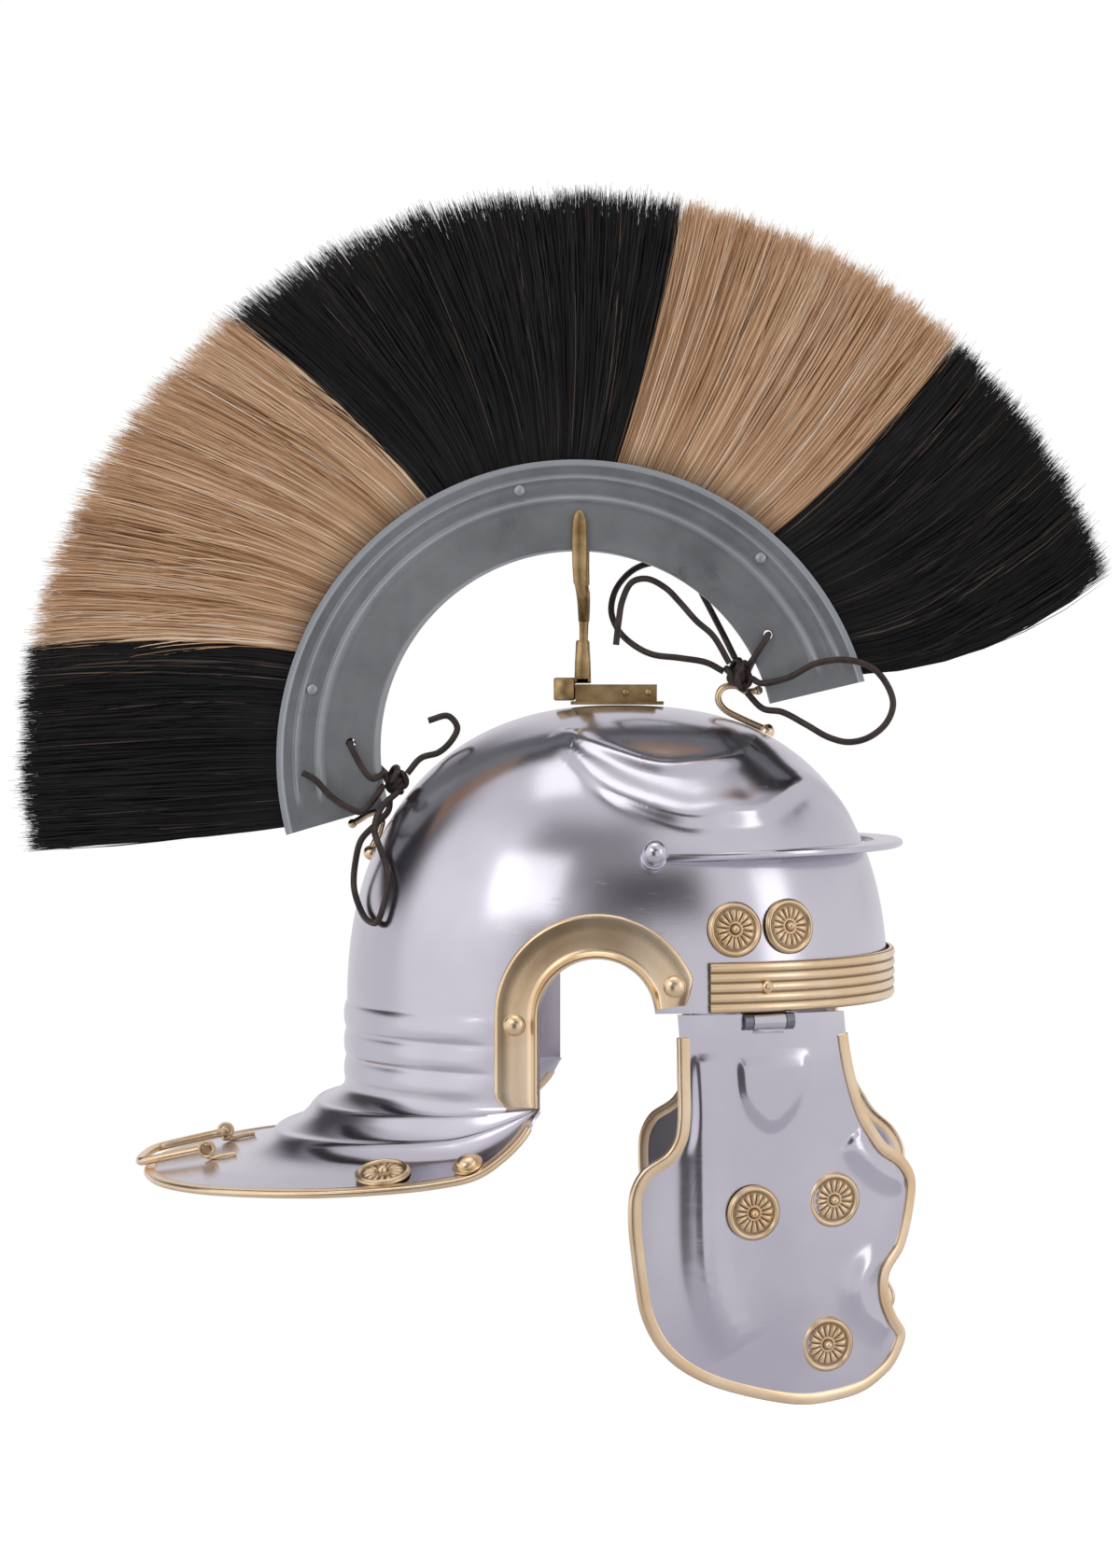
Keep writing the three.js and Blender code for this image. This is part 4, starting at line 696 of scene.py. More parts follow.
# Neck guard outline from the right corner to the middle: shares of its length, half width and drop
GUARD_EDGE = [
    (0.00, 0.872, 0.00), (0.03, 0.912, 0.28), (0.08, 0.952, 0.52), (0.14, 0.976, 0.70),
    (0.24, 0.992, 0.80), (0.37, 1.000, 0.86), (0.51, 0.987, 0.90), (0.66, 0.936, 0.92),
    (0.80, 0.820, 0.94), (0.91, 0.600, 0.97), (0.98, 0.300, 0.99), (1.00, 0.000, 1.00)]
GUARD_SPANS = 2 * (len(GUARD_EDGE) - 1)
GUARD_FRONT_X = EAR_X - EAR_RADIUS
GUARD_BACK_X = BOWL_MIDDLE_X - BOWL_LENGTH / 2 - GUARD_LENGTH
GUARD_TOP_Z = -0.93 * NAPE_DROP
GUARD_HALF = BOWL_WIDTH / 2 + GUARD_FLARE
CORNER = math.acos(-abs((GUARD_FRONT_X - BOWL_MIDDLE_X) / (BOWL_LENGTH / 2)) ** (PLAN_POWER / 2))
NAPE_ROLL_TOP, NAPE_ROLL, NAPE_ROLLS, NAPE_ROLL_RISE = 2.1, 11.8, 3, 1.4
# Fall of the guard's middle line, as shares out and down
GUARD_FALL = [(0.00, 0.00), (0.06, 0.10), (0.14, 0.20), (0.27, 0.45), (0.38, 0.60), (0.50, 0.76),
              (0.75, 0.89), (1.00, 1.00)]
GUARD_MIDDLE_FALL = 0.76
# Ribs of the guard: share out and width
GUARD_RIBS = ((0.165, 0.026), (0.355, 0.030))
GUARD_RIB = 1.7
COLUMNS_BEHIND, COLUMNS_OVER_EAR, COLUMNS_AHEAD = 132, 40, 112
CROWN_ROWS, NAPE_ROWS, GUARD_ROWS = 104, 42, 44
BEND_ROWS, BEND_EASINGS = 4, 6


def guard_outline(steps):
    half = [np.array((GUARD_FRONT_X + back * (GUARD_BACK_X - GUARD_FRONT_X), -aside * GUARD_HALF,
                      GUARD_TOP_Z - drop * GUARD_DROP)) for back, aside, drop in GUARD_EDGE]
    other = [p * (1, -1, 1) for p in half[:-1][::-1]]
    return through(half + other, steps)


def guard_profile(count):
    """Shares out and down of the guard's rows, and its ribs' height there."""
    fall = through([(a, b, 0) for a, b in GUARD_FALL], 12)
    out = np.linspace(0, 1, count) ** 1.1
    down = np.interp(out, fall[:, 0], fall[:, 1])
    rib = sum(np.exp(-((out - at) / width) ** 2) for at, width in GUARD_RIBS)
    return out, down, rib


def ear_columns(side, steps):
    """Plan angle and lower height of the columns over one ear opening, from rear to front."""
    columns = []
    for turn in np.linspace(math.pi, math.asin((RIM_Z - EAR_Z) / EAR_RADIUS), steps):
        x = EAR_X + EAR_RADIUS * math.cos(turn)
        z = EAR_Z + EAR_RADIUS * math.sin(turn)
        share = (x - BOWL_MIDDLE_X) / (BOWL_LENGTH / 2)
        power = bowl_power(share)
        share /= (1 - (z / BOWL_HEIGHT) ** power) ** (1 / power)
        angle = math.acos(math.copysign(abs(share) ** (PLAN_POWER / 2), share))
        columns.append((side * angle, z))
    return columns


def bowl_columns():
    """Plan angle and lower height of the columns behind the ears, and of the whole ring."""
    rear = [(angle, EAR_Z)
            for angle in np.linspace(-CORNER, CORNER - FULL_TURN, COLUMNS_BEHIND + 1)]
    left = [(angle - (FULL_TURN if angle > 0 else 0), z)
            for angle, z in ear_columns(1, COLUMNS_OVER_EAR)]
    right = ear_columns(-1, COLUMNS_OVER_EAR)[::-1]
    front = [(angle, RIM_Z)
             for angle in np.linspace(left[-1][0], right[0][0] - FULL_TURN, COLUMNS_AHEAD)]
    right = [(angle - FULL_TURN, z) for angle, z in right]
    return rear, rear + left[1:] + front[1:-1] + right[:-1]


def crown_grid(columns):
    """The dome above the columns with its pressed brows, column by column."""
    angles = np.array([c[0] for c in columns])
    lows = np.array([c[1] for c in columns])
    start = np.arcsin((lows / BOWL_HEIGHT) ** (CROWN_POWER / 2))
    share = np.linspace(0, 1, CROWN_ROWS, endpoint=False)
    turn = start[:, None] + (math.pi / 2 - start[:, None]) * share[None, :]
    heights = BOWL_HEIGHT * np.sin(turn) ** (2 / CROWN_POWER)
    heights[:, 0] = lows
    grid = wall(angles[:, None], heights).reshape(-1, 3)
    normals = bowl_normal(grid)
    return grid + normals * brow_height(grid, normals)[:, None]


def nape_and_guard(rear):
    """The rolled nape and the neck guard below it, as rows of points for each rear column."""
    outline = guard_outline(COLUMNS_BEHIND // GUARD_SPANS)
    frames = frame_edge(outline)
    out, down, rib = guard_profile(GUARD_ROWS)
    z = np.linspace(EAR_Z, GUARD_TOP_Z + 3, NAPE_ROWS + 1)[1:]
    roll = np.clip((NAPE_ROLL_TOP - z) / NAPE_ROLL, 0, NAPE_ROLLS)
    lower = np.zeros((COLUMNS_BEHIND + 1, NAPE_ROWS + GUARD_ROWS, 3))
    for i, (angle, _) in enumerate(rear):
        p = wall(angle, z)
        away = bowl_normal(p) * (1, 1, 0)
        at_back = ease((-math.cos(angle) - 0.3) / 0.25)
        bulge = NAPE_ROLL_RISE * at_back * np.abs(np.sin(math.pi * roll)) ** 0.55
        lower[i, :NAPE_ROWS] = p + away * bulge[:, None]
        root = wall(angle, GUARD_TOP_Z)
        edge = outline[i] + frames[i][1] * (TRIM_SHEET + GAP)
        fade = math.sin(math.pi * i / COLUMNS_BEHIND) ** 0.5
        row = root + (edge - root) * out[:, None]
        row[:, 2] = root[2] + (edge[2] - root[2]) * down + GUARD_RIB * rib * fade + STEEL / 2
        lower[i, NAPE_ROWS:] = row
    # The bend from wall to guard is eased over its neighbouring rows.
    for _ in range(BEND_EASINGS):
        bend = lower[:, NAPE_ROWS - BEND_ROWS:NAPE_ROWS + BEND_ROWS + 1]
        bend[:, 1:-1] = 0.5 * bend[:, 1:-1] + 0.25 * (bend[:, :-2] + bend[:, 2:])
    return lower


def make_bowl():
    rear, columns = bowl_columns()
    grid = crown_grid(columns)
    lower = nape_and_guard(rear)
    crown, count, rows_below = len(grid), len(columns), lower.shape[1]
    faces = []
    for i in range(count):
        a, b = i * CROWN_ROWS, (i + 1) % count * CROWN_ROWS
        for j in range(CROWN_ROWS - 1):
            faces.append((a + j, a + j + 1, b + j + 1, b + j))
        faces.append((a + CROWN_ROWS - 1, crown, b + CROWN_ROWS - 1))
    for i in range(COLUMNS_BEHIND):
        for j in range(rows_below):
            a = crown + 1 + i * rows_below + j
            b = a + rows_below
            above = (i * CROWN_ROWS, (i + 1) * CROWN_ROWS) if j == 0 else (a - 1, b - 1)
            faces.append((a, *above, b))
    points = np.vstack([grid, [(BOWL_MIDDLE_X, 0, BOWL_HEIGHT)], lower.reshape(-1, 3)])
    piece("steel_bowl", *steel_sheet(points, faces, 0, bowl_normal(points[0])), "polished_steel",
          nodes=["bowl"], sharp=50)


def guard_line(outline, k, share):
    """A point of the guard on its way out to the outline's point k, and the root of that way."""
    angle = -CORNER + (2 * CORNER - FULL_TURN) * k / (len(outline) - 1)
    root = wall(angle, GUARD_TOP_Z)
    row = root + (outline[k] - root) * share
    row[2] = root[2] + (outline[k][2] - root[2]) * GUARD_MIDDLE_FALL
    return row, root


def frame_edge(outline):
    """Up normal and inward direction along the guard's free edge."""
    along = unit(np.gradient(outline, axis=0))
    frames = []
    for k, p in enumerate(outline):
        row, root = guard_line(outline, k, 0.5)
        normal = unit(np.cross(along[k], p - row))
        normal = normal if normal[2] > 0 else -normal
        inward = unit(np.cross(normal, along[k]))
        inward = inward if inward @ (root - p) > 0 else -inward
        frames.append((normal, inward))
    return frames


def channel_profile(width):
    """Cross-section of the brass edging: a sheet folded round an edge, its lips rounded."""
    inner = STEEL / 2 + GAP
    outer = inner + TRIM_SHEET
    bend = [(outer - outer * math.cos(t) * 0.9 - 0.1, outer * math.sin(t))
            for t in np.linspace(math.radians(75), -math.radians(75), 9)]
    return [(width, inner), (width, outer - 0.25), (width - 0.4, outer), (1.6, outer), *bend,
            (1.6, -outer), (width - 0.4, -outer), (width, -outer + 0.25), (width, -inner)]


def edging(outline, frames, width):
    rings = [[p + inward * depth + normal * height for depth, height in channel_profile(width)]
             for p, (normal, inward) in zip(outline, frames)]
    return sweep(rings)


make_bowl()


# Brass on the bowl

BAND_END, BAND_STATIONS = math.radians(72), 150
# Section of an ear guard from its lip to its outer edge: shares across, and heights
EAR_PROFILE = [
    (0.02, 0.0), (0.0, 1.2), (0.01, EAR_LIP - 0.5), (0.035, EAR_LIP), (0.07, EAR_LIP),
    (0.10, EAR_LIP - 0.6), (0.13, 2.0), (0.18, 1.35), (0.26, BRASS_SHEET), (0.45, BRASS_SHEET),
    (0.62, BRASS_SHEET), (0.80, BRASS_SHEET + 0.1), (0.90, BRASS_SHEET + 0.55),
    (0.95, BRASS_SHEET + 0.55), (0.985, BRASS_SHEET + 0.1), (1.0, 0.7), (1.0, 0.0), (0.5, 0.0)]
EAR_FRONT_TURN, EAR_FADE_TURN = math.radians(8), math.radians(14)
# Studs of an ear guard, in degrees round the ear
EAR_STUDS = (("front", 22), ("rear", 186))
# Section of the brow bar: shares of its reach and of its thickness
BAR_SECTION = [(0.0, 0.15), (0.0, 0.85), (0.06, 1.0), (0.5, 1.0), (0.90, 1.0), (0.97, 0.85),
               (1.0, 0.5), (0.97, 0.15), (0.90, 0.0), (0.5, 0.0), (0.06, 0.0)]
BAR_STAND, BAR_TIP, BAR_STATIONS, BAR_BALL_RISE = 3.3, 2.0, 140, 7.0


def make_brow_band():
    profile = [(0.0, 0.0), (0.0, 1.0), (BAND_BODY * 0.7, 1.0)]
    for k in range(BAND_RIBS - 1, -1, -1):
        for t in np.linspace(0.94, 0.06, 7):
            bulge = math.sin(math.pi * t) ** 0.7
            profile.append((BAND_BODY - 0.2 + (BAND_RIB + 0.2) * bulge, (k + t) / BAND_RIBS))
    profile.append((BAND_BODY * 0.7, 0.0))
    rings, marks = [], []
    for i in range(BAND_STATIONS + 1):
        base = wall(-BAND_END + 2 * BAND_END * i / BAND_STATIONS, RIM_Z)
        normal = unit(bowl_normal(base) * (1, 1, 0))
        for out, up in profile:
            # Painted shade: the points in the gaps between the ribs are marked low, to be darkened.
            marks.append(1.0 if 0 < up < 1 and out < BAND_BODY + 0.45 else 0.0)
        rings.append([(*(base + normal * (out + 2 * GAP))[:2], RIM_Z + up * BAND_HEIGHT)
                      for out, up in profile])
    piece("ribbed_band", *sweep(rings), "brass", nodes=["brow_band"], marks={"low": marks})
    for side, name in SIDES:
        p = bowl_side(HINGE_X - 1.5, RIM_Z + 0.5 * BAND_HEIGHT, side, 2 * GAP + BAND_BODY + 0.6)
        pin = joined(dome(2.6, 2.3), seated(dome(1.2, 1.6), (0, 0, 1.6), (0, 0, 1)))
        piece(f"band_pin_{name}", *seated(pin, p, bowl_normal(p)), "brass",
              nodes=[f"brow_band_pin_{name}"])


def ear_stations(steps):
    """Inner and outer points of the guard, up its leg and over the ear."""
    foot, outer, chamfer = -0.9 * NAPE_DROP, EAR_RADIUS + EAR_GUARD_BAND, 0.2 * EAR_GUARD_BAND
    inner_x = EAR_X - EAR_RADIUS
    stations = []
    for z, width in ((foot, EAR_GUARD_BAND - chamfer), (foot + chamfer, EAR_GUARD_BAND)):
        stations.append(((inner_x, z), (inner_x - width, z)))
    for z in np.linspace(foot + chamfer, EAR_Z, 14)[1:-1]:
        stations.append(((inner_x, z), (inner_x - EAR_GUARD_BAND, z)))
    for turn in np.linspace(math.pi, EAR_FRONT_TURN, steps):
        near_end = np.clip((turn - EAR_FRONT_TURN) / EAR_FADE_TURN, 0, 1)
        reach = outer - 1.5 * chamfer * (1 - near_end)
        stations.append(tuple((EAR_X + r * math.cos(turn), EAR_Z + r * math.sin(turn))
                              for r in (EAR_RADIUS, reach)))
    return stations


def make_ear_guards():
    lift = 2 * GAP
    for side, name in SIDES:
        rings = []
        for inner, outer in ear_stations(60):
            ring = []
            for across, up in EAR_PROFILE:
                x, z = (inner[k] + (outer[k] - inner[k]) * across for k in (0, 1))
                ring.append(bowl_side(x, z, side, lift + up))
            rings.append(ring)
        piece(f"ear_plate_{name}", *sweep(rings), "brass", nodes=[f"ear_guard_{name}"])
        middle = EAR_RADIUS + 0.55 * EAR_GUARD_BAND
        for place, turn in EAR_STUDS:
            x = EAR_X + middle * math.cos(math.radians(turn))
            z = EAR_Z + middle * math.sin(math.radians(turn))
            p = bowl_side(x, z, side, lift + BRASS_SHEET)
            piece(f"ear_stud_{place}_{name}", *seated(dome(4.6, 3.6, 10), p, bowl_normal(p)),
                  "brass", nodes=[f"ear_rivet_{place}_{name}"])


def make_brow_bar():
    inset = wall(0.0, BAR_Z)[0] - BOWL_MIDDLE_X
    end_angle = math.acos(((BAR_END_X - BOWL_MIDDLE_X) / inset) ** (PLAN_POWER / 2))
    rings = []
    for i in range(BAR_STATIONS + 1):
        share = 2 * i / BAR_STATIONS - 1
        base = wall(share * end_angle, BAR_Z - BAR_SAG)
        normal = unit(bowl_normal(base) * (1, 1, 0))
        reach = BAR_REACH + (BAR_TIP - BAR_REACH) * abs(share) ** 2.2
        stand = BAR_STAND + (2 * GAP - BAR_STAND) * abs(share)
        sag = BAR_SAG * share ** 2
        rings.append([(*(base + normal * (stand + (reach - stand) * across))[:2],
                       BAR_Z - sag + up * BAR_THICK) for across, up in BAR_SECTION])
    parts = [sweep(rings)]
    for side, name in SIDES:
        seat = bowl_side(BAR_END_X - 0.75 * BAR_RIVET, BAR_Z - 1, side, 2 * GAP)
        normal = bowl_normal(seat)
        eye = lathe([(0, 0), (BAR_RIVET, 0), (BAR_RIVET + 0.3, 0.5), (BAR_RIVET + 0.3, 1.2),
                     (BAR_RIVET - 0.2, 1.7), (0, 1.7)])
        parts.append(seated(eye, seat, normal))
        ball = [(0, 1.2), (3.6, 1.2), (4.3, 2.4)]
        ball += [(BAR_RIVET * math.cos(t), BAR_BALL_RISE + BAR_RIVET * math.sin(t))
                 for t in np.linspace(-0.9, 1.45, 14)]
        ball.append((0, BAR_BALL_RISE + BAR_RIVET))
        piece(f"bar_ball_{name}", *seated(lathe(ball), seat, normal),
              "polished_steel", nodes=[f"brow_bar_rivet_{name}"])
    piece("brow_peak", *joined(*parts), "polished_steel", nodes=["brow_bar"])


# Rosettes

# Radii are shares of the disc's
PETALS = 16
HUB_AT, STUD_AT, RIM_AT = 0.235, 0.175, 0.88
# Rosettes of the bowl: place, share ahead of the middle and share up
BOWL_FLOWERS = (("rear", 0.43, 0.30), ("front", 0.62, 0.305))


def rosette():
    """A stamped disc: ringed rim, sixteen petals round a hub, and a beaded stud."""
    around, rings = 96, 28
    radii = np.linspace(0, 1, rings + 1)[1:]
    points, marks, faces = [(0.0, 0.0, 3.9)], [0.0], []
    for r in radii:
        for k in range(around):
            t = FULL_TURN * k / around
            petal = abs(math.cos(PETALS / 2 * t)) ** 0.7
            reach = math.sin(math.pi * min(max((r - 0.27) / 0.47, 0), 1)) ** 0.55
            rim = math.exp(-((r - RIM_AT) / 0.075) ** 2)
            hub = math.exp(-((r - HUB_AT) / 0.04) ** 2)
            stud = math.sqrt(max(0.0, 1 - (r / STUD_AT) ** 2))
            z = 0.75 + 1.0 * petal * reach + 1.25 * rim + 0.8 * hub + 3.1 * stud
            points.append((r * ROSETTE_RADIUS * math.cos(t), r * ROSETTE_RADIUS * math.sin(t), z))
            # Painted shade: the lower a point lies, the darker it is marked; the disc's edge and
            # its foot are darkened as well.
            marks.append(min(0.85, max(0.0, 1.12 - 0.95 * (z - 0.55))) if r < 0.97 else 0.2)
    for k in range(around):
        n = (k + 1) % around
        faces.append((0, 1 + k, 1 + n))
        for i in range(rings - 1):
            a, b = 1 + i * around, 1 + (i + 1) * around
            faces.append((a + k, b + k, b + n, a + n))
    last = 1 + (rings - 1) * around
    foot = len(points)
    for k in range(around):
        t = FULL_TURN * k / around
        points.append((ROSETTE_RADIUS * math.cos(t), ROSETTE_RADIUS * math.sin(t), 0.0))
        marks.append(0.4)
    for k in range(around):
        n = (k + 1) % around
        faces.append((last + k, foot + k, foot + n, last + n))
    faces.append(tuple(foot + k for k in reversed(range(around))))
    return np.array(points), faces, marks


ROSETTE = rosette()


def set_rosette(name, point, normal, node, body="root"):
    points, faces = seated(ROSETTE[:2], point, normal)
    piece(name, points, faces, "brass", nodes=[node], body=body, marks={"low": ROSETTE[2]},
          sharp=60)


def make_bowl_rosettes():
    for side, name in SIDES:
        for place, ahead, up in BOWL_FLOWERS:
            p = bowl_side(BOWL_MIDDLE_X + ahead * BOWL_LENGTH / 2, up * BOWL_HEIGHT, side, GAP)
            set_rosette(f"bowl_flower_{place}_{name}", p, bowl_normal(p),
                        f"bowl_rosette_{place}_{name}")


# Neck guard fittings

def guard_spot(outline, index, inward):
    """A place on the guard: its point and normal, counted along the model's outline points."""
    k = round(index * (len(outline) - 1) / GUARD_SPANS)
    normal, _ = frame_edge(outline)[k]
    row, _ = guard_line(outline, k, 0.49)
    return outline[k] + (row - outline[k]) * inward, normal


# Kind, place along the outline's points, share inward and lift
NECK_FITTINGS = (("rosette", 5, 0.60, 0.3), ("clip", 3, 0.46, 0.9))
EDGING_STEPS, EDGING_CUT = 8, 5


def make_neck_fittings():
    outline = guard_outline(EDGING_STEPS)
    kept = slice(EDGING_CUT, -EDGING_CUT)
    piece("neck_edging", *edging(outline[kept], frame_edge(outline)[kept], TRIM_WIDTH), "brass",
          nodes=["neck_trim"])
    for side, name in SIDES:
        for kind, index, inward, lift in NECK_FITTINGS:
            p, normal = guard_spot(outline, index if side < 0 else GUARD_SPANS - index, inward)
            p = p + normal * (STEEL / 2 + TRIM_SHEET + lift)
            if kind == "rosette":
                set_rosette(f"neck_flower_{name}", p, normal, f"neck_rosette_{name}")
            else:
                clip = joined(lathe([(0, 0), (6.4, 0), (6.5, 0.4), (6.3, 0.8), (0, 0.9)]),
                              seated(dome(4.8, 3.6, 10), (0, 0, 0.7), (0, 0, 1)))
                piece(f"corner_clip_{name}", *seated(clip, p, normal), "brass",
                      nodes=[f"neck_clip_{name}"])


EYE_RADIUS, EYE_OUT = 3.05, 3.8


def make_handle():
    pivot = np.array(HANDLE_PIVOT)
    edge_z = GUARD_TOP_Z - GUARD_DROP
    tilt = math.atan2(pivot[2] - edge_z - 4, HANDLE_LENGTH)
    half = HANDLE_HALF

    def back(share, y):
        return (-share * HANDLE_LENGTH * math.cos(tilt), y, -share * HANDLE_LENGTH * math.sin(tilt))

    path = [(0, -half - 6, 0), (0, -half - 1.5, 0), back(0.05, -half), back(0.2, -half + 0.5),
            back(0.88, -half + 3), back(1, -half + 6), back(1, half - 6), back(0.88, half - 3),
            back(0.2, half - 0.5), back(0.05, half), (0, half + 1.5, 0), (0, half + 6, 0)]
    points, faces = tube(through(path, 8), HANDLE_WIRE, 16)
    piece("handle_wire", points + pivot, faces, "brass", nodes=["carry_handle"], body="handle")
    for side, name in SIDES:
        y = side * (half + EYE_OUT)
        ring = [(EYE_RADIUS * math.cos(t), 0.35 * math.sin(2 * t), EYE_RADIUS * math.sin(t))
                for t in np.linspace(0, FULL_TURN, 28, endpoint=False)]
        loops = [tube(np.array(ring) + pivot + (0, y + shift, 0), 0.8, 10, closed=True)
                 for shift in (-0.85, 0.85)]
        foot = pivot + (0, y, -3.4)
        tail = [(-1, -side * 3, 0.3), (2, 0, -0.2), (9, side, 1.3), (13, side * 1.5, 1.9)]
        loops.append(tube(through([foot + step for step in tail], 8), 1.0, 10))
        piece(f"handle_loop_{name}", *joined(*loops), "brass", nodes=[f"handle_eye_{name}"])


make_brow_band()
make_ear_guards()
make_brow_bar()
make_bowl_rosettes()
make_neck_fittings()
make_handle()


# Cheek pieces

# Share down, and shares of the width at the rear and at the front
CHEEK_ROWS = [
    (0.000, -0.305, 0.277), (0.057, -0.298, 0.286), (0.153, -0.294, 0.312), (0.261, -0.291, 0.362),
    (0.309, -0.300, 0.404), (0.345, -0.327, 0.442), (0.387, -0.400, 0.519), (0.441, -0.435, 0.564),
    (0.520, -0.440, 0.560), (0.622, -0.426, 0.523), (0.682, -0.415, 0.468), (0.736, -0.403, 0.466),
    (0.790, -0.379, 0.495), (0.844, -0.338, 0.538), (0.892, -0.274, 0.518), (0.922, -0.212, 0.492),
    (0.946, -0.142, 0.458), (0.982, 0.015, 0.373), (1.000, 0.138, 0.231)]
CHEEK_BOSS = [(-0.112, 0.105), (-0.110, 0.16), (-0.100, 0.21), (-0.06, 0.265), (0.0, 0.30),
              (0.05, 0.295), (0.105, 0.255), (0.145, 0.20), (0.152, 0.15), (0.148, 0.105)]
CHEEK_BOSS_HEIGHT, CHEEK_BOSS_SLOPE, CHEEK_BOSS_STEPS = 1.7, 5.0, 40
CHEEK_STEPS, CHEEK_COLUMNS = 7, 76
HINGE_NOTCH, HINGE_NOTCH_DEPTH = 11.0, 3.9
BARREL_HALF, BARREL_RADIUS = 7, 3.5
# Rear crease, front flare and chin flare
CHEEK_LINES = [
    {"height": 3.3, "inner": 5.4, "outer": 10.0, "taper": 0.35, "rows": [
        (-0.218, 0.09), (-0.216, 0.25), (-0.213, 0.40), (-0.208, 0.55), (-0.195, 0.66),
        (-0.16, 0.76), (-0.10, 0.85)]},
    {"height": 2.8, "inner": 5.0, "outer": 8.0, "taper": 0.4, "rows": [
        (0.30, 0.33), (0.35, 0.37), (0.41, 0.41), (0.47, 0.435), (0.52, 0.445)]},
    {"height": 3.2, "inner": 5.5, "outer": 7.0, "taper": 0.5, "rows": [
        (0.43, 0.63), (0.375, 0.66), (0.345, 0.71), (0.36, 0.765), (0.41, 0.80), (0.47, 0.82)]},
]
# Rosettes of a cheek piece: place, share along and share down
CHEEK_FLOWERS = (("rear", -0.042, 0.500), ("front", 0.242, 0.479), ("low", 0.228, 0.848))


def cheek_place(along, down, out):
    """A cheek's own point: x along the hinge, y outward, z up."""
    lean = math.radians(CHEEK_LEAN)
    curve = along * along / (2 * CHEEK_CURVE)
    return np.stack([along, -curve - down * math.sin(lean) + out * math.cos(lean),
                     -down * math.cos(lean) - out * math.sin(lean)], axis=-1)


def to_helmet(points, side):
    turn = math.radians(-HINGE_TURN * side)
    x, y, z = points[..., 0], points[..., 1] * side, points[..., 2]
    return np.stack([HINGE_X + x * math.cos(turn) - y * math.sin(turn),
                     side * HINGE_Y + x * math.sin(turn) + y * math.cos(turn),
                     HINGE_Z + z], axis=-1)


def cheek_loop(steps):
    """The outline down the rear, round the bottom and up the front, with its inward normals."""
    rear = [(a * CHEEK_WIDTH, d * CHEEK_DROP - CHEEK_RISE, 0) for d, a, _ in CHEEK_ROWS]
    front = [(a * CHEEK_WIDTH, d * CHEEK_DROP - CHEEK_RISE, 0) for d, _, a in CHEEK_ROWS]
    loop = through(rear + front[::-1], steps)[:, :2]
    along = unit(np.gradient(loop, axis=0))
    return loop, np.stack([along[:, 1], -along[:, 0]], axis=-1)


def enclosed(grid, loop):
    """Which points of a flat grid lie inside a closed line."""
    inside = np.zeros(len(grid), bool)
    for a, b in zip(loop, loop[1:]):
        crosses = (a[1] > grid[:, 1]) != (b[1] > grid[:, 1])
        if a[1] != b[1]:
            edge = (b[0] - a[0]) * (grid[:, 1] - a[1]) / (b[1] - a[1]) + a[0]
            inside ^= crosses & (grid[:, 0] < edge)
    return inside


def cheek_surface(grid, rim):
    """Lift of the pressed forms over the flat sheet, easing out towards the rim."""
    flat = np.hstack([grid, np.zeros((len(grid), 1))])
    up = np.broadcast_to((0.0, 0.0, 1.0), flat.shape)
    total = np.zeros(len(grid))
    for form in CHEEK_LINES:
        line = cheek_line(form["rows"])
        total = np.maximum(total, pressed(flat, up, line, form["height"], form["inner"],
                                          form["outer"], sign=-1, taper=form["taper"]))
    boss = cheek_line(CHEEK_BOSS + CHEEK_BOSS[:1], CHEEK_BOSS_STEPS)
    depth = np.sqrt(((flat[:, None] - boss[None]) ** 2).sum(-1)).min(1) * enclosed(grid, boss)
    total += CHEEK_BOSS_HEIGHT * ease(depth / CHEEK_BOSS_SLOPE)
    away = np.sqrt(((grid[:, None] - rim[None]) ** 2).sum(-1)).min(1)
    return total * ease((away - TRIM_WIDTH + 0.6) / 4.0)


def cheek_line(rows, steps=10):
    return through([(a * CHEEK_WIDTH, d * CHEEK_DROP - CHEEK_RISE, 0) for a, d in rows], steps)


def cheek_skin(side, loop, inward):
    """The sheet's outer skin: its flat grid, its lift, its points and its faces."""
    edge = loop + inward * (TRIM_SHEET + 1.5 * GAP)
    rows = (len(CHEEK_ROWS) - 1) * CHEEK_STEPS
    flat = np.array([[edge[j] + (edge[-1 - j] - edge[j]) * i / CHEEK_COLUMNS
                      for j in range(rows + 1)] for i in range(CHEEK_COLUMNS + 1)]).reshape(-1, 2)
    lift = cheek_surface(flat, loop)
    points = to_helmet(cheek_place(flat[:, 0], flat[:, 1], lift + STEEL / 2), side)
    faces = []
    for i in range(CHEEK_COLUMNS):
        for j in range(rows):
            a, b = i * (rows + 1) + j, (i + 1) * (rows + 1) + j
            middle = flat[[a, b, a + 1, b + 1]].mean(axis=0)
            if abs(middle[0]) >= HINGE_NOTCH + GAP or middle[1] >= HINGE_NOTCH_DEPTH:
                faces.append((a, b, b + 1, a + 1))
    return flat, lift, points, faces


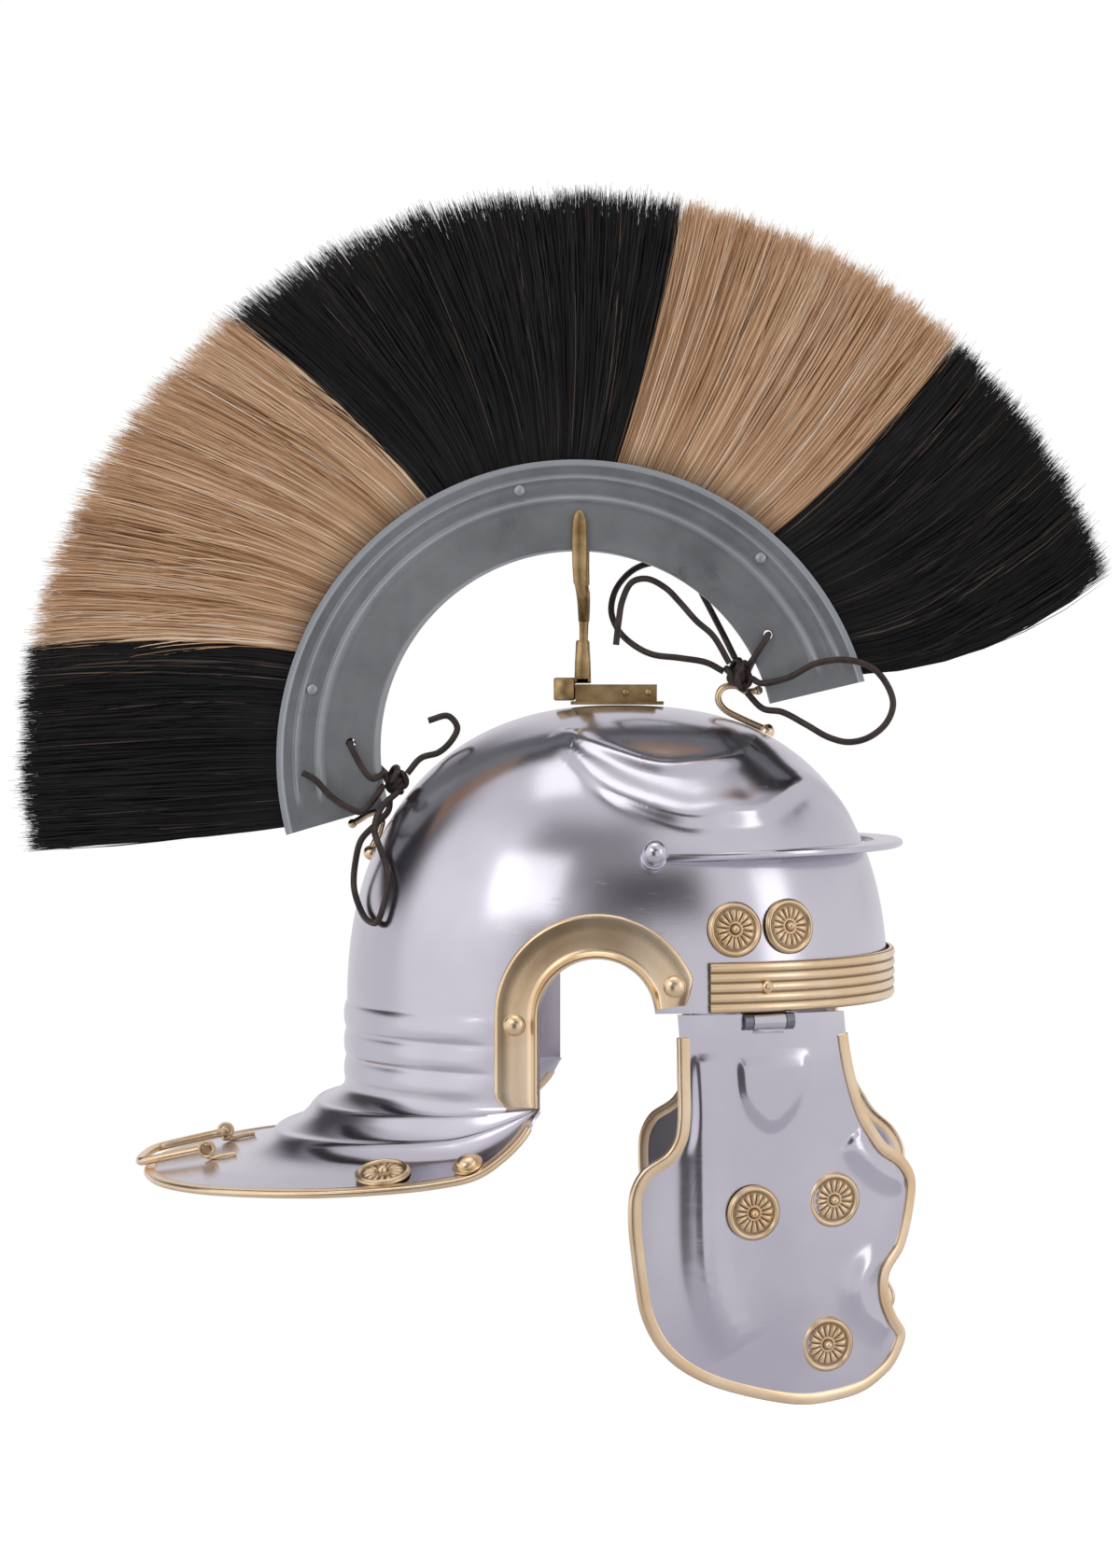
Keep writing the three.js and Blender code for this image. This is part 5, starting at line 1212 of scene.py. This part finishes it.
def make_cheek(side, name):
    loop, inward = cheek_loop(CHEEK_STEPS)
    flat, lift, points, faces = cheek_skin(side, loop, inward)
    outside = to_helmet(np.array([0.0, 1.0, 0.0]), side) - to_helmet(np.zeros(3), side)
    sheet = steel_sheet(points, faces, len(points) // 2, outside)
    pin_line = [(x, 0.0, 0.0) for x in np.linspace(-BARREL_HALF, BARREL_HALF, 5)]
    barrel = tube(to_helmet(np.array(pin_line), side), BARREL_RADIUS, 24)
    tongue = block((-BARREL_HALF, -STEEL / 3, -5.2), (BARREL_HALF, STEEL / 3, -1), 0.2)
    tongue = outward(to_helmet(tongue[0], side), tongue[1])
    piece(f"cheek_sheet_{name}", *joined(sheet, barrel, tongue), "polished_steel",
          nodes=[f"cheek_{name}"], body=f"cheek_{name}", sharp=50)
    trimmed = slice(CHEEK_STEPS, -CHEEK_STEPS)
    trim_loop, trim_inward = loop[trimmed], inward[trimmed]
    base = to_helmet(cheek_place(trim_loop[:, 0], trim_loop[:, 1], 0.0), side)
    inner_line = trim_loop + trim_inward
    inner = to_helmet(cheek_place(inner_line[:, 0], inner_line[:, 1], 0.0), side)
    up = to_helmet(cheek_place(trim_loop[:, 0], trim_loop[:, 1], 1.0), side)
    frames = list(zip(unit(up - base), unit(inner - base)))
    piece(f"cheek_edging_{name}", *edging(base, frames, TRIM_WIDTH), "brass",
          nodes=[f"cheek_trim_{name}"], body=f"cheek_{name}")
    for place, along, down in CHEEK_FLOWERS:
        spot = (along * CHEEK_WIDTH, down * CHEEK_DROP - CHEEK_RISE)
        near = np.sqrt(((flat - spot) ** 2).sum(-1)) < ROSETTE_RADIUS
        seat = STEEL / 2 + 0.1 + 0.8 * lift[near].max()
        low = to_helmet(cheek_place(*spot, seat), side)
        high = to_helmet(cheek_place(*spot, seat + 1), side)
        set_rosette(f"cheek_flower_{place}_{name}", low, unit(high - low),
                    f"cheek_rosette_{place}_{name}", f"cheek_{name}")


for cheek_side, cheek_name in SIDES:
    make_cheek(cheek_side, cheek_name)


# Crest box

def crest_place(angle, radius, y):
    angle, radius, y = np.broadcast_arrays(angle, radius, y)
    return np.stack([CREST_X + radius * np.cos(angle), y, CREST_Z + radius * np.sin(angle)],
                    axis=-1)


def box_outer(angle):
    return BOX_INNER + BOX_DEPTH - BOX_TOP_LOSS * np.sin(angle)


# Beads of the box's sides: share of the depth, width and height
BOX_BEADS = ((0.565, 0.034, 1.5), (0.80, 0.026, 1.4))
# Lace holes: x and z
BOX_HOLES = ((64.4, 161.9), (-117.5, 114.7))
BOX_RIVETS = (46, 102, 167)
BOX_STATIONS = 130


def make_crest_box():
    half = BOX_WIDTH / 2
    shares = np.concatenate([[0.0, 0.01], np.linspace(0.03, 0.50, 10), np.linspace(0.502, 0.86, 52),
                             [0.89, 0.92, 0.93, 0.94, 0.95, 0.97, 0.99, 1.0]])
    first, last = math.radians(BOX_FRONT_ANGLE), math.radians(BOX_REAR_ANGLE)
    rim = 0.55 * np.clip((shares - 0.93) / 0.02, 0, 1)
    rings, edge = [], []
    for i in range(BOX_STATIONS + 1):
        angle = first + (last - first) * i / BOX_STATIONS
        ends = min(i, BOX_STATIONS - i) / BOX_STATIONS * (last - first) * 110
        fade = min(1.0, max(0.0, (ends - 9) / 5))
        bead = sum(high * np.exp(-((shares - at) / wide) ** 2)
                   - 0.35 * high * np.exp(-((shares - at) / (2.4 * wide)) ** 2)
                   for at, wide, high in BOX_BEADS) * fade
        out = half + bead + rim - 0.25 * (shares < 0.005)
        radius = BOX_INNER + (box_outer(angle) - BOX_INNER) * shares
        right = crest_place(angle, radius, -out)
        left = crest_place(angle, radius, out)[::-1]
        inside = [crest_place(angle, r, y) for r, y in (
            (box_outer(angle), -half + BOX_SHEET), (BOX_INNER + BOX_SHEET, -half + BOX_SHEET),
            (BOX_INNER + BOX_SHEET, half - BOX_SHEET), (box_outer(angle), half - BOX_SHEET))]
        rings.append(np.vstack([left, right, inside]))
        # Painted highlight, partly polish: the rim and the bead crests are marked to be lightened.
        polish_and_highlight = np.maximum(np.where(shares > 0.935, 1.0, 0.0), 0.55 * np.clip(bead / 0.8, 0, 1))
        edge += [*polish_and_highlight[::-1], *polish_and_highlight, 0, 0, 0, 0]
    points, faces = sweep(rings)
    made = piece("crest_channel", points, faces, "sheet_steel", nodes=["crest_box"],
                 marks={"edge": edge}, sharp=35)
    for x, z in BOX_HOLES:
        bore(made, (x, 0, z), LACE + 0.7)
    for number, turn in enumerate(BOX_RIVETS):
        angle = math.radians(turn)
        radius = BOX_INNER + (box_outer(angle) - BOX_INNER) * 0.72
        heads = [seated(dome(2.5, 1.5), crest_place(angle, radius, side * (half - 0.05)),
                        (0, side, 0)) for side, _ in SIDES]
        # The rivet heads carry the lighter edge tone all over: painted highlight and polish.
        piece(f"channel_rivet_{number + 1}", *joined(*heads), "sheet_steel",
              marks={"edge": [0.7] * sum(len(h[0]) for h in heads)})


def bore(made, centre, radius):
    """Cuts a round hole along Y through a piece."""
    line = np.array([(centre[0], y, centre[2]) for y in (-30, -10, 10, 30)])
    points, faces = tube(line, radius, 20)
    mesh = bpy.data.meshes.new("bore")
    mesh.from_pydata((points * MM).tolist(), [], faces)
    cutter = put("bore", mesh)
    step = made.modifiers.new("hole", "BOOLEAN")
    step.operation = "DIFFERENCE"
    step.solver = "EXACT"
    step.object = cutter
    bpy.context.view_layer.update()
    ready = made.evaluated_get(bpy.context.evaluated_depsgraph_get())
    fresh = bpy.data.meshes.new_from_object(ready)
    made.modifiers.clear()
    made.data = fresh
    fresh.set_sharp_from_angle(angle=math.radians(35))
    bpy.data.objects.remove(cutter)


make_crest_box()


# Hair of the crest

# Borders of the bands in degrees: at the root, where they lean to, and at the tip
HAIR_BORDERS = [(15.0, 2.0, 18.5), (47.6, 38.0, 46.9), (82.0, 71.0, 78.6), (120.0, 129.0, 128.7),
                (160.4, 170.0, 169.1), (195.2, 187.0, 190.3)]
# Nodes of the bands, and their strands
HAIR_BANDS = (("hair_black_front", 8300), ("hair_tan_front", 8300), ("hair_black_top", 9200),
              ("hair_tan_rear", 8300), ("hair_black_rear", 8300))
# Share of the half thickness along the strands
HAIR_THICK = [(-0.1, 0.50), (0.0, 0.53), (0.26, 0.66), (0.55, 0.90), (0.82, 1.00), (1.0, 0.86)]
STRAND_STEPS, CLUMPS, CORE_COLUMNS = 7, 46, 36
# How far tips draw to their clump, how they scatter, and how uneven clumps and strands are
CLUMP_PULL, TIP_SPREAD, CLUMP_UNEVEN, STRAND_UNEVEN, STRAND_SWAY = 0.16, 0.012, 0.0035, 0.008, 1.1
# Shares of short strands, of strands on the sides, and of strands in an odd tone
SHORT_STRANDS, SIDE_STRANDS = 0.10, 0.66
STRAYS = {"tan": 0.03, "black": 0.012}
HAIR_LIMIT = 25.5


def strand_points(band, share, tip_share, tip_reach, along):
    """Middle-plane points of strands: rows of strands by steps along them."""
    def mix(column, s):
        low, high = HAIR_BORDERS[band][column], HAIR_BORDERS[band + 1][column]
        return np.radians(low + (high - low) * s)

    root = mix(0, share)
    start = crest_place(root, box_outer(root) - 3.0, 0.0)
    tip = crest_place(mix(2, tip_share), HAIR_RADIUS * tip_reach, 0.0)
    lean = mix(1, share)
    reach = 0.5 * np.linalg.norm(tip - start, axis=-1)
    bend = start + np.stack([np.cos(lean), 0 * lean, np.sin(lean)], axis=-1) * reach[:, None]
    t = along[None, :, None]
    a, b, c = (p[:, None, :] for p in (start, bend, tip))
    return (1 - t) ** 2 * a + 2 * t * (1 - t) * b + t ** 2 * c


def half_thickness(along):
    table = np.array(HAIR_THICK)
    return np.interp(along, table[:, 0], table[:, 1]) * HAIR_HALF_THICK


def strand_paths(rolls, band, count, along):
    """Paths of a band's strands, the way each is flat, and the clump of each."""
    clumps = np.sort(rolls.uniform(0.0, 1.0, CLUMPS))
    share = rolls.uniform(0.004, 0.996, count)
    clump = np.abs(share[:, None] - clumps[None, :]).argmin(1)
    tip_share = share + (clumps[clump] - share) * CLUMP_PULL + rolls.normal(0, TIP_SPREAD, count)
    uneven = rolls.normal(0, CLUMP_UNEVEN, CLUMPS)[clump]
    reach = np.clip(0.990 + uneven + rolls.normal(0, STRAND_UNEVEN, count), 0.90, 1.024)
    short = rolls.random(count) < SHORT_STRANDS
    reach = np.where(short, reach - rolls.uniform(0.02, 0.16, count), reach)
    paths = strand_points(band, share, tip_share, reach, along)
    on_side = rolls.random(count) < SIDE_STRANDS
    outer = np.sign(rolls.uniform(-1, 1, count)) * rolls.uniform(0.84, 1.0, count)
    deep = np.where(on_side, outer, rolls.uniform(-0.92, 0.92, count))
    squeeze = 1 + rolls.normal(0, 0.05, count)[:, None] * along[None, :]
    depth = deep[:, None] * half_thickness(along)[None, :] * squeeze
    paths[..., 1] = np.clip(depth, -HAIR_LIMIT, HAIR_LIMIT)
    ahead = unit(np.gradient(paths, axis=1))
    across = unit(np.cross(ahead, (0.0, 1.0, 0.0)))
    sway = rolls.normal(0, STRAND_SWAY, count)[:, None]
    turns = along[None, :] * rolls.uniform(2.0, 6.0, count)[:, None]
    wave = sway * np.sin(turns + rolls.uniform(0, 6, count)[:, None])
    paths = paths + across * (wave * along[None, :])[..., None]
    spin = np.where(on_side, rolls.normal(0, 0.45, count), rolls.uniform(0, math.pi, count))
    flat = (across * np.cos(spin)[:, None, None]
            + np.cross(ahead, across) * np.sin(spin)[:, None, None])
    return paths, flat, clump


def make_hair(band, name, count):
    rolls = np.random.default_rng(40 + band)
    colour = "tan" if "tan" in name else "black"
    along = np.linspace(0, 1, STRAND_STEPS)
    paths, flat, clump = strand_paths(rolls, band, count, along)
    slim = np.interp(along, (0, 0.25, 0.75, 1.0), (0.20, 0.25, 0.24, 0.05))
    width = slim[None, :] * rolls.uniform(0.7, 1.25, count)[:, None]
    tone = rolls.normal(0.50, 0.17, count) + rolls.normal(0, 0.07, CLUMPS)[clump]
    tone = np.clip(tone, 0.02, 0.93)
    stray = rolls.random(count) < STRAYS[colour]
    tone = np.where(stray, rolls.uniform(0.93, 1.0, count), tone)
    left = paths - flat * width[..., None]
    right = paths + flat * width[..., None]
    points = np.stack([left, right], axis=2).reshape(-1, 3)
    firsts = np.arange(count)[:, None] * (2 * STRAND_STEPS)
    base = (firsts + 2 * np.arange(STRAND_STEPS - 1)[None, :]).reshape(-1)
    strands = np.stack([base, base + 1, base + 3, base + 2], axis=-1)
    core_points, core_faces = hair_core(band)
    start = len(points)
    faces = [*map(tuple, strands), *[tuple(start + k for k in face) for face in core_faces]]
    # Painted shade: the core under the strands is given a dark tone, for the shaded inside of the
    # hair.
    tones = [*np.repeat(tone, 2 * STRAND_STEPS), *[0.12] * len(core_points)]
    depth = [*np.tile(np.repeat(along, 2), count), *[0.5] * len(core_points)]
    piece(name.replace("hair", "plume"), np.vstack([points, core_points]), faces,
          f"{colour}_hair", nodes=[name], marks={"tone": tones, "along": depth}, sharp=None)


def hair_core(band):
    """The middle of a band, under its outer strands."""
    along = np.linspace(0.0, 0.93, 12)
    share = np.linspace(0.01, 0.99, CORE_COLUMNS + 1)
    middle = strand_points(band, share, share, np.full(CORE_COLUMNS + 1, 0.95), along)
    thick = half_thickness(along) * 0.90
    ripple = 1 - 0.05 * (np.arange(CORE_COLUMNS + 1) % 2)
    rings = []
    for i in range(CORE_COLUMNS + 1):
        front, rear = middle[i].copy(), middle[i].copy()
        front[:, 1], rear[:, 1] = thick * ripple[i], -thick * ripple[i]
        rings.append(np.vstack([front, rear[::-1]]))
    return sweep(rings)


for number, (hair_name, strand_count) in enumerate(HAIR_BANDS):
    make_hair(number, hair_name, strand_count)


# Hooks

# Steps of a hook's free end from its middle, in x and z
FRONT_HOOK = ((-8, 4.5), (-10.5, 9), (-8.5, 13.5), (-3, 14.5), (2, 12), (7, 12.5))
REAR_HOOK = ((1, 4.8), (-1, 8.3), (-5, 7.5), (-8.5, 5.3), (-12, 3.3))
FRONT_HOOK_AHEAD, REAR_HOOK_UP = (65, 54), (0.50, 0.57)


def make_hooks():
    stand = WIRE + GAP
    front = [bowl_top(BOWL_MIDDLE_X + ahead, 0, stand) for ahead in FRONT_HOOK_AHEAD]
    rear = [wall(math.pi, up * BOWL_HEIGHT) for up in REAR_HOOK_UP]
    rear = [p + bowl_normal(p) * stand for p in rear]
    for path, steps in ((front, FRONT_HOOK), (rear, REAR_HOOK)):
        middle = path[1]
        path += [middle + (dx, 0, dz) for dx, dz in steps]
    for node, path in (("hook_front", front), ("hook_rear", rear)):
        normal = bowl_normal(path[0])
        head = seated(dome(3.3, 2 * WIRE + 1.4, 10), path[0] - normal * WIRE, normal)
        ball = round_ball(1.35 * WIRE)
        parts = [tube(through(path, 8), WIRE, 14), head, (ball[0] + path[-1], ball[1])]
        piece(f"{node}_wire", *joined(*parts), "brass", nodes=[node])


make_hooks()


# Crest fork

def post(stations, corner=0.35):
    """An upright of rounded cross-sections: middle, half width, half thickness."""
    rings = []
    for x, y, z, wide, thick in stations:
        c = corner * min(wide, thick)
        rings.append([(x + sx * a, y + sy * b, z) for sx, sy, a, b in (
            (-1, -1, wide - c, thick), (1, -1, wide - c, thick), (1, -1, wide, thick - c),
            (1, 1, wide, thick - c), (1, 1, wide - c, thick), (-1, 1, wide - c, thick),
            (-1, 1, wide, thick - c), (-1, -1, wide, thick - c))])
    return sweep(rings)


FORK_X, FORK_TOP, PRONG_Y = -16.7, 140.5, 16.35
# Blocks of the fork's foot: low corner, high corner and bevel
FORK_BLOCKS = (((-29.2, -6.0, 133.1), (-20.1, 6.0, 143.1), 0.6),
               ((-29.0, -3.0, 140.6), (-13.3, 3.0, 143.0), 0.4),
               ((-22.0, -4.0, 135.2), (-5.9, 4.0, 138.2), 0.2))
# Stations of its stem, its neck and a prong: x, y, z, half width and half thickness
FORK_STEM = [(FORK_X, 0, FORK_TOP + 0.2, 3.6, 3.0), (FORK_X, 0, FORK_TOP + 9, 3.4, 3.0),
             (FORK_X, 0, FORK_TOP + 18.4, 2.9, 2.9), (FORK_X, 0, FORK_TOP + 19, 2.5, 2.6)]
FORK_NECK = [(-16.3, 0, FORK_TOP + 18.6, 1.8, 2.4), (-16.2, 0, 165, 1.9, 2.5),
             (-16.2, 0, 170.5, 2.2, 3.0)]
FORK_PRONG = [
    (-16.2, 1.5, 167.6, 2.3, 2.0), (-16.2, 6, 172.2, 2.4, 2.2), (-16.3, 11.5, 177.0, 2.4, 2.2),
    (-16.6, 15.4, 180.6, 2.5, 1.7), (-17.2, PRONG_Y, 183.5, 2.4, 1.0),
    (-17.2, PRONG_Y, 184.2, 2.9, 1.0), (-17.5, PRONG_Y, 192, 3.1, 1.0),
    (-17.6, PRONG_Y, 205, 3.3, 1.0), (-17.6, PRONG_Y, 211, 3.0, 1.0),
    (-17.6, PRONG_Y, 214, 2.3, 0.95), (-17.6, PRONG_Y, 215.6, 1.3, 0.8),
    (-17.6, PRONG_Y, 216.1, 0.5, 0.5)]


def make_fork():
    parts = [block(*sizes) for sizes in FORK_BLOCKS] + [post(FORK_STEM), post(FORK_NECK)]
    for side, _ in SIDES:
        parts.append(post([(x, side * y, z, wide, thick) for x, y, z, wide, thick in FORK_PRONG],
                          0.6))
    piece("fork_of_crest", *joined(*parts), "old_brass", nodes=["crest_fork"], sharp=50)


make_fork()

# CAD nodes that stay as they are

for kept, look in (("crest_base", OLD_BRASS_LOOK),
                   ("hinge_right", HINGE_LOOK), ("hinge_left", HINGE_LOOK)):
    for entry in bpy.data.objects[kept].material_slots:
        entry.material = look


# Studio

FLOOR_HALF, FLOOR_Z = 0.7, -0.30
IN_DEGREES = 57.3
# Zones of the studio by bearing and height in degrees: from, to, and how soft each side is.
# Bearings are counted from the camera, with the brow's side positive.
DARK_ZONES = (
    ("nape", 0.93, (-158.0, -94.0, 14.0, 8.0), (13.0, 45.0, 6.0, 14.0)),
    ("lens", 0.95, (-9.0, 28.0, 8.0, 6.0), (15.0, 33.0, 4.0, 5.0)),
    ("ceiling", 0.62, (-36.0, 10.0, 9.0, 6.0), (20.0, 52.0, 8.0, 7.0)),
    ("brow", 0.4, (88.0, 135.0, 8.0, 18.0), (36.0, 62.0, 5.0, 8.0)),
    ("person", 0.9, (-26.0, 6.0, 6.0, 5.0), (-50.0, 14.0, 12.0, 6.0)))
SOFTBOX = ((-88.0, -40.0, 10.0, 14.0), (-8.0, 42.0, 8.0, 16.0))
# Name, place and aim in metres, size and watts
LIGHTS = (
    ("key", (-0.9, -1.5, 0.9), (-0.03, 0, 0.1), (0.9, 0.7), 2.5),
    ("side", (1.5, -0.9, 0.4), (0.05, 0, 0.05), (0.5, 1.0), 1.5),
    ("top", (-0.1, -0.3, 1.6), (-0.05, 0, 0.2), (1.1, 0.7), 2.0))


def make_floor():
    mesh = bpy.data.meshes.new("floor")
    corners = [(x * FLOOR_HALF, y * FLOOR_HALF, FLOOR_Z)
               for x, y in ((-1, -1), (1, -1), (1, 1), (-1, 1))]
    mesh.from_pydata(corners, [], [(0, 1, 2, 3)])
    material, s = new_material("pale_floor")
    seen = s.add("ShaderNodeLightPath")
    glow = s.mix(seen, (0, 0, 0, 1), (1, 1, 1, 1))
    s.surface(Base_Color=(0.74, 0.73, 0.77, 1), Roughness=0.9, Emission_Color=glow,
              Emission_Strength=0.75)
    mesh.materials.append(material)
    put("floor", mesh)


def zone(bearing, height, sides, ends):
    """1 inside a zone of the studio and 0 outside it."""
    inside = 1.0
    for value, (low, high, soft_low, soft_high) in ((bearing, sides), (height, ends)):
        inside = value.smooth(low - soft_low, low + soft_low) * inside
        inside = inside * (1.0 - value.smooth(high - soft_high, high + soft_high))
    return inside


def make_world():
    """A white studio, with the soft dark zones that the polished steel mirrors."""
    world = bpy.data.worlds.new("studio")
    world.use_nodes = True
    s = Shader(world.node_tree)
    own = s.add("ShaderNodeTexCoord")
    x, y, z = (s.add("ShaderNodeSeparateXYZ", {}, {0: own}, output=k) for k in range(3))
    bearing = x.math("ARCTAN2", y * -1.0) * IN_DEGREES
    height = z.math("ARCSINE") * IN_DEGREES
    darks = [zone(bearing, height, sides, ends) * strength
             for _, strength, sides, ends in DARK_ZONES]
    dark = darks[0]
    for other in darks[1:]:
        dark = dark.math("MAXIMUM", other)
    level = (1.0 - dark) * (0.80 + zone(bearing, height, *SOFTBOX) * 0.42)
    studio = s.mix(level, (0.02, 0.018, 0.02, 1), (0.98, 0.96, 1.0, 1))
    seen = s.add("ShaderNodeLightPath")
    colour = s.mix(seen, studio, (1, 1, 1, 1))
    back = s.add("ShaderNodeBackground", {}, {"Color": colour, "Strength": 1.0})
    s.add("ShaderNodeOutputWorld", {}, {"Surface": back})
    bpy.context.scene.world = world


def make_lights():
    for name, place, aim, size, power in LIGHTS:
        light = bpy.data.lights.new(name, "AREA")
        light.shape = "RECTANGLE"
        light.size, light.size_y = size
        light.energy = power
        lamp = put(name, light)
        lamp.location = place
        lamp.rotation_euler = (Vector(place) - Vector(aim)).to_track_quat("Z", "Y").to_euler()


make_floor()
make_world()
make_lights()
bpy.context.scene.view_settings.view_transform = "Standard"
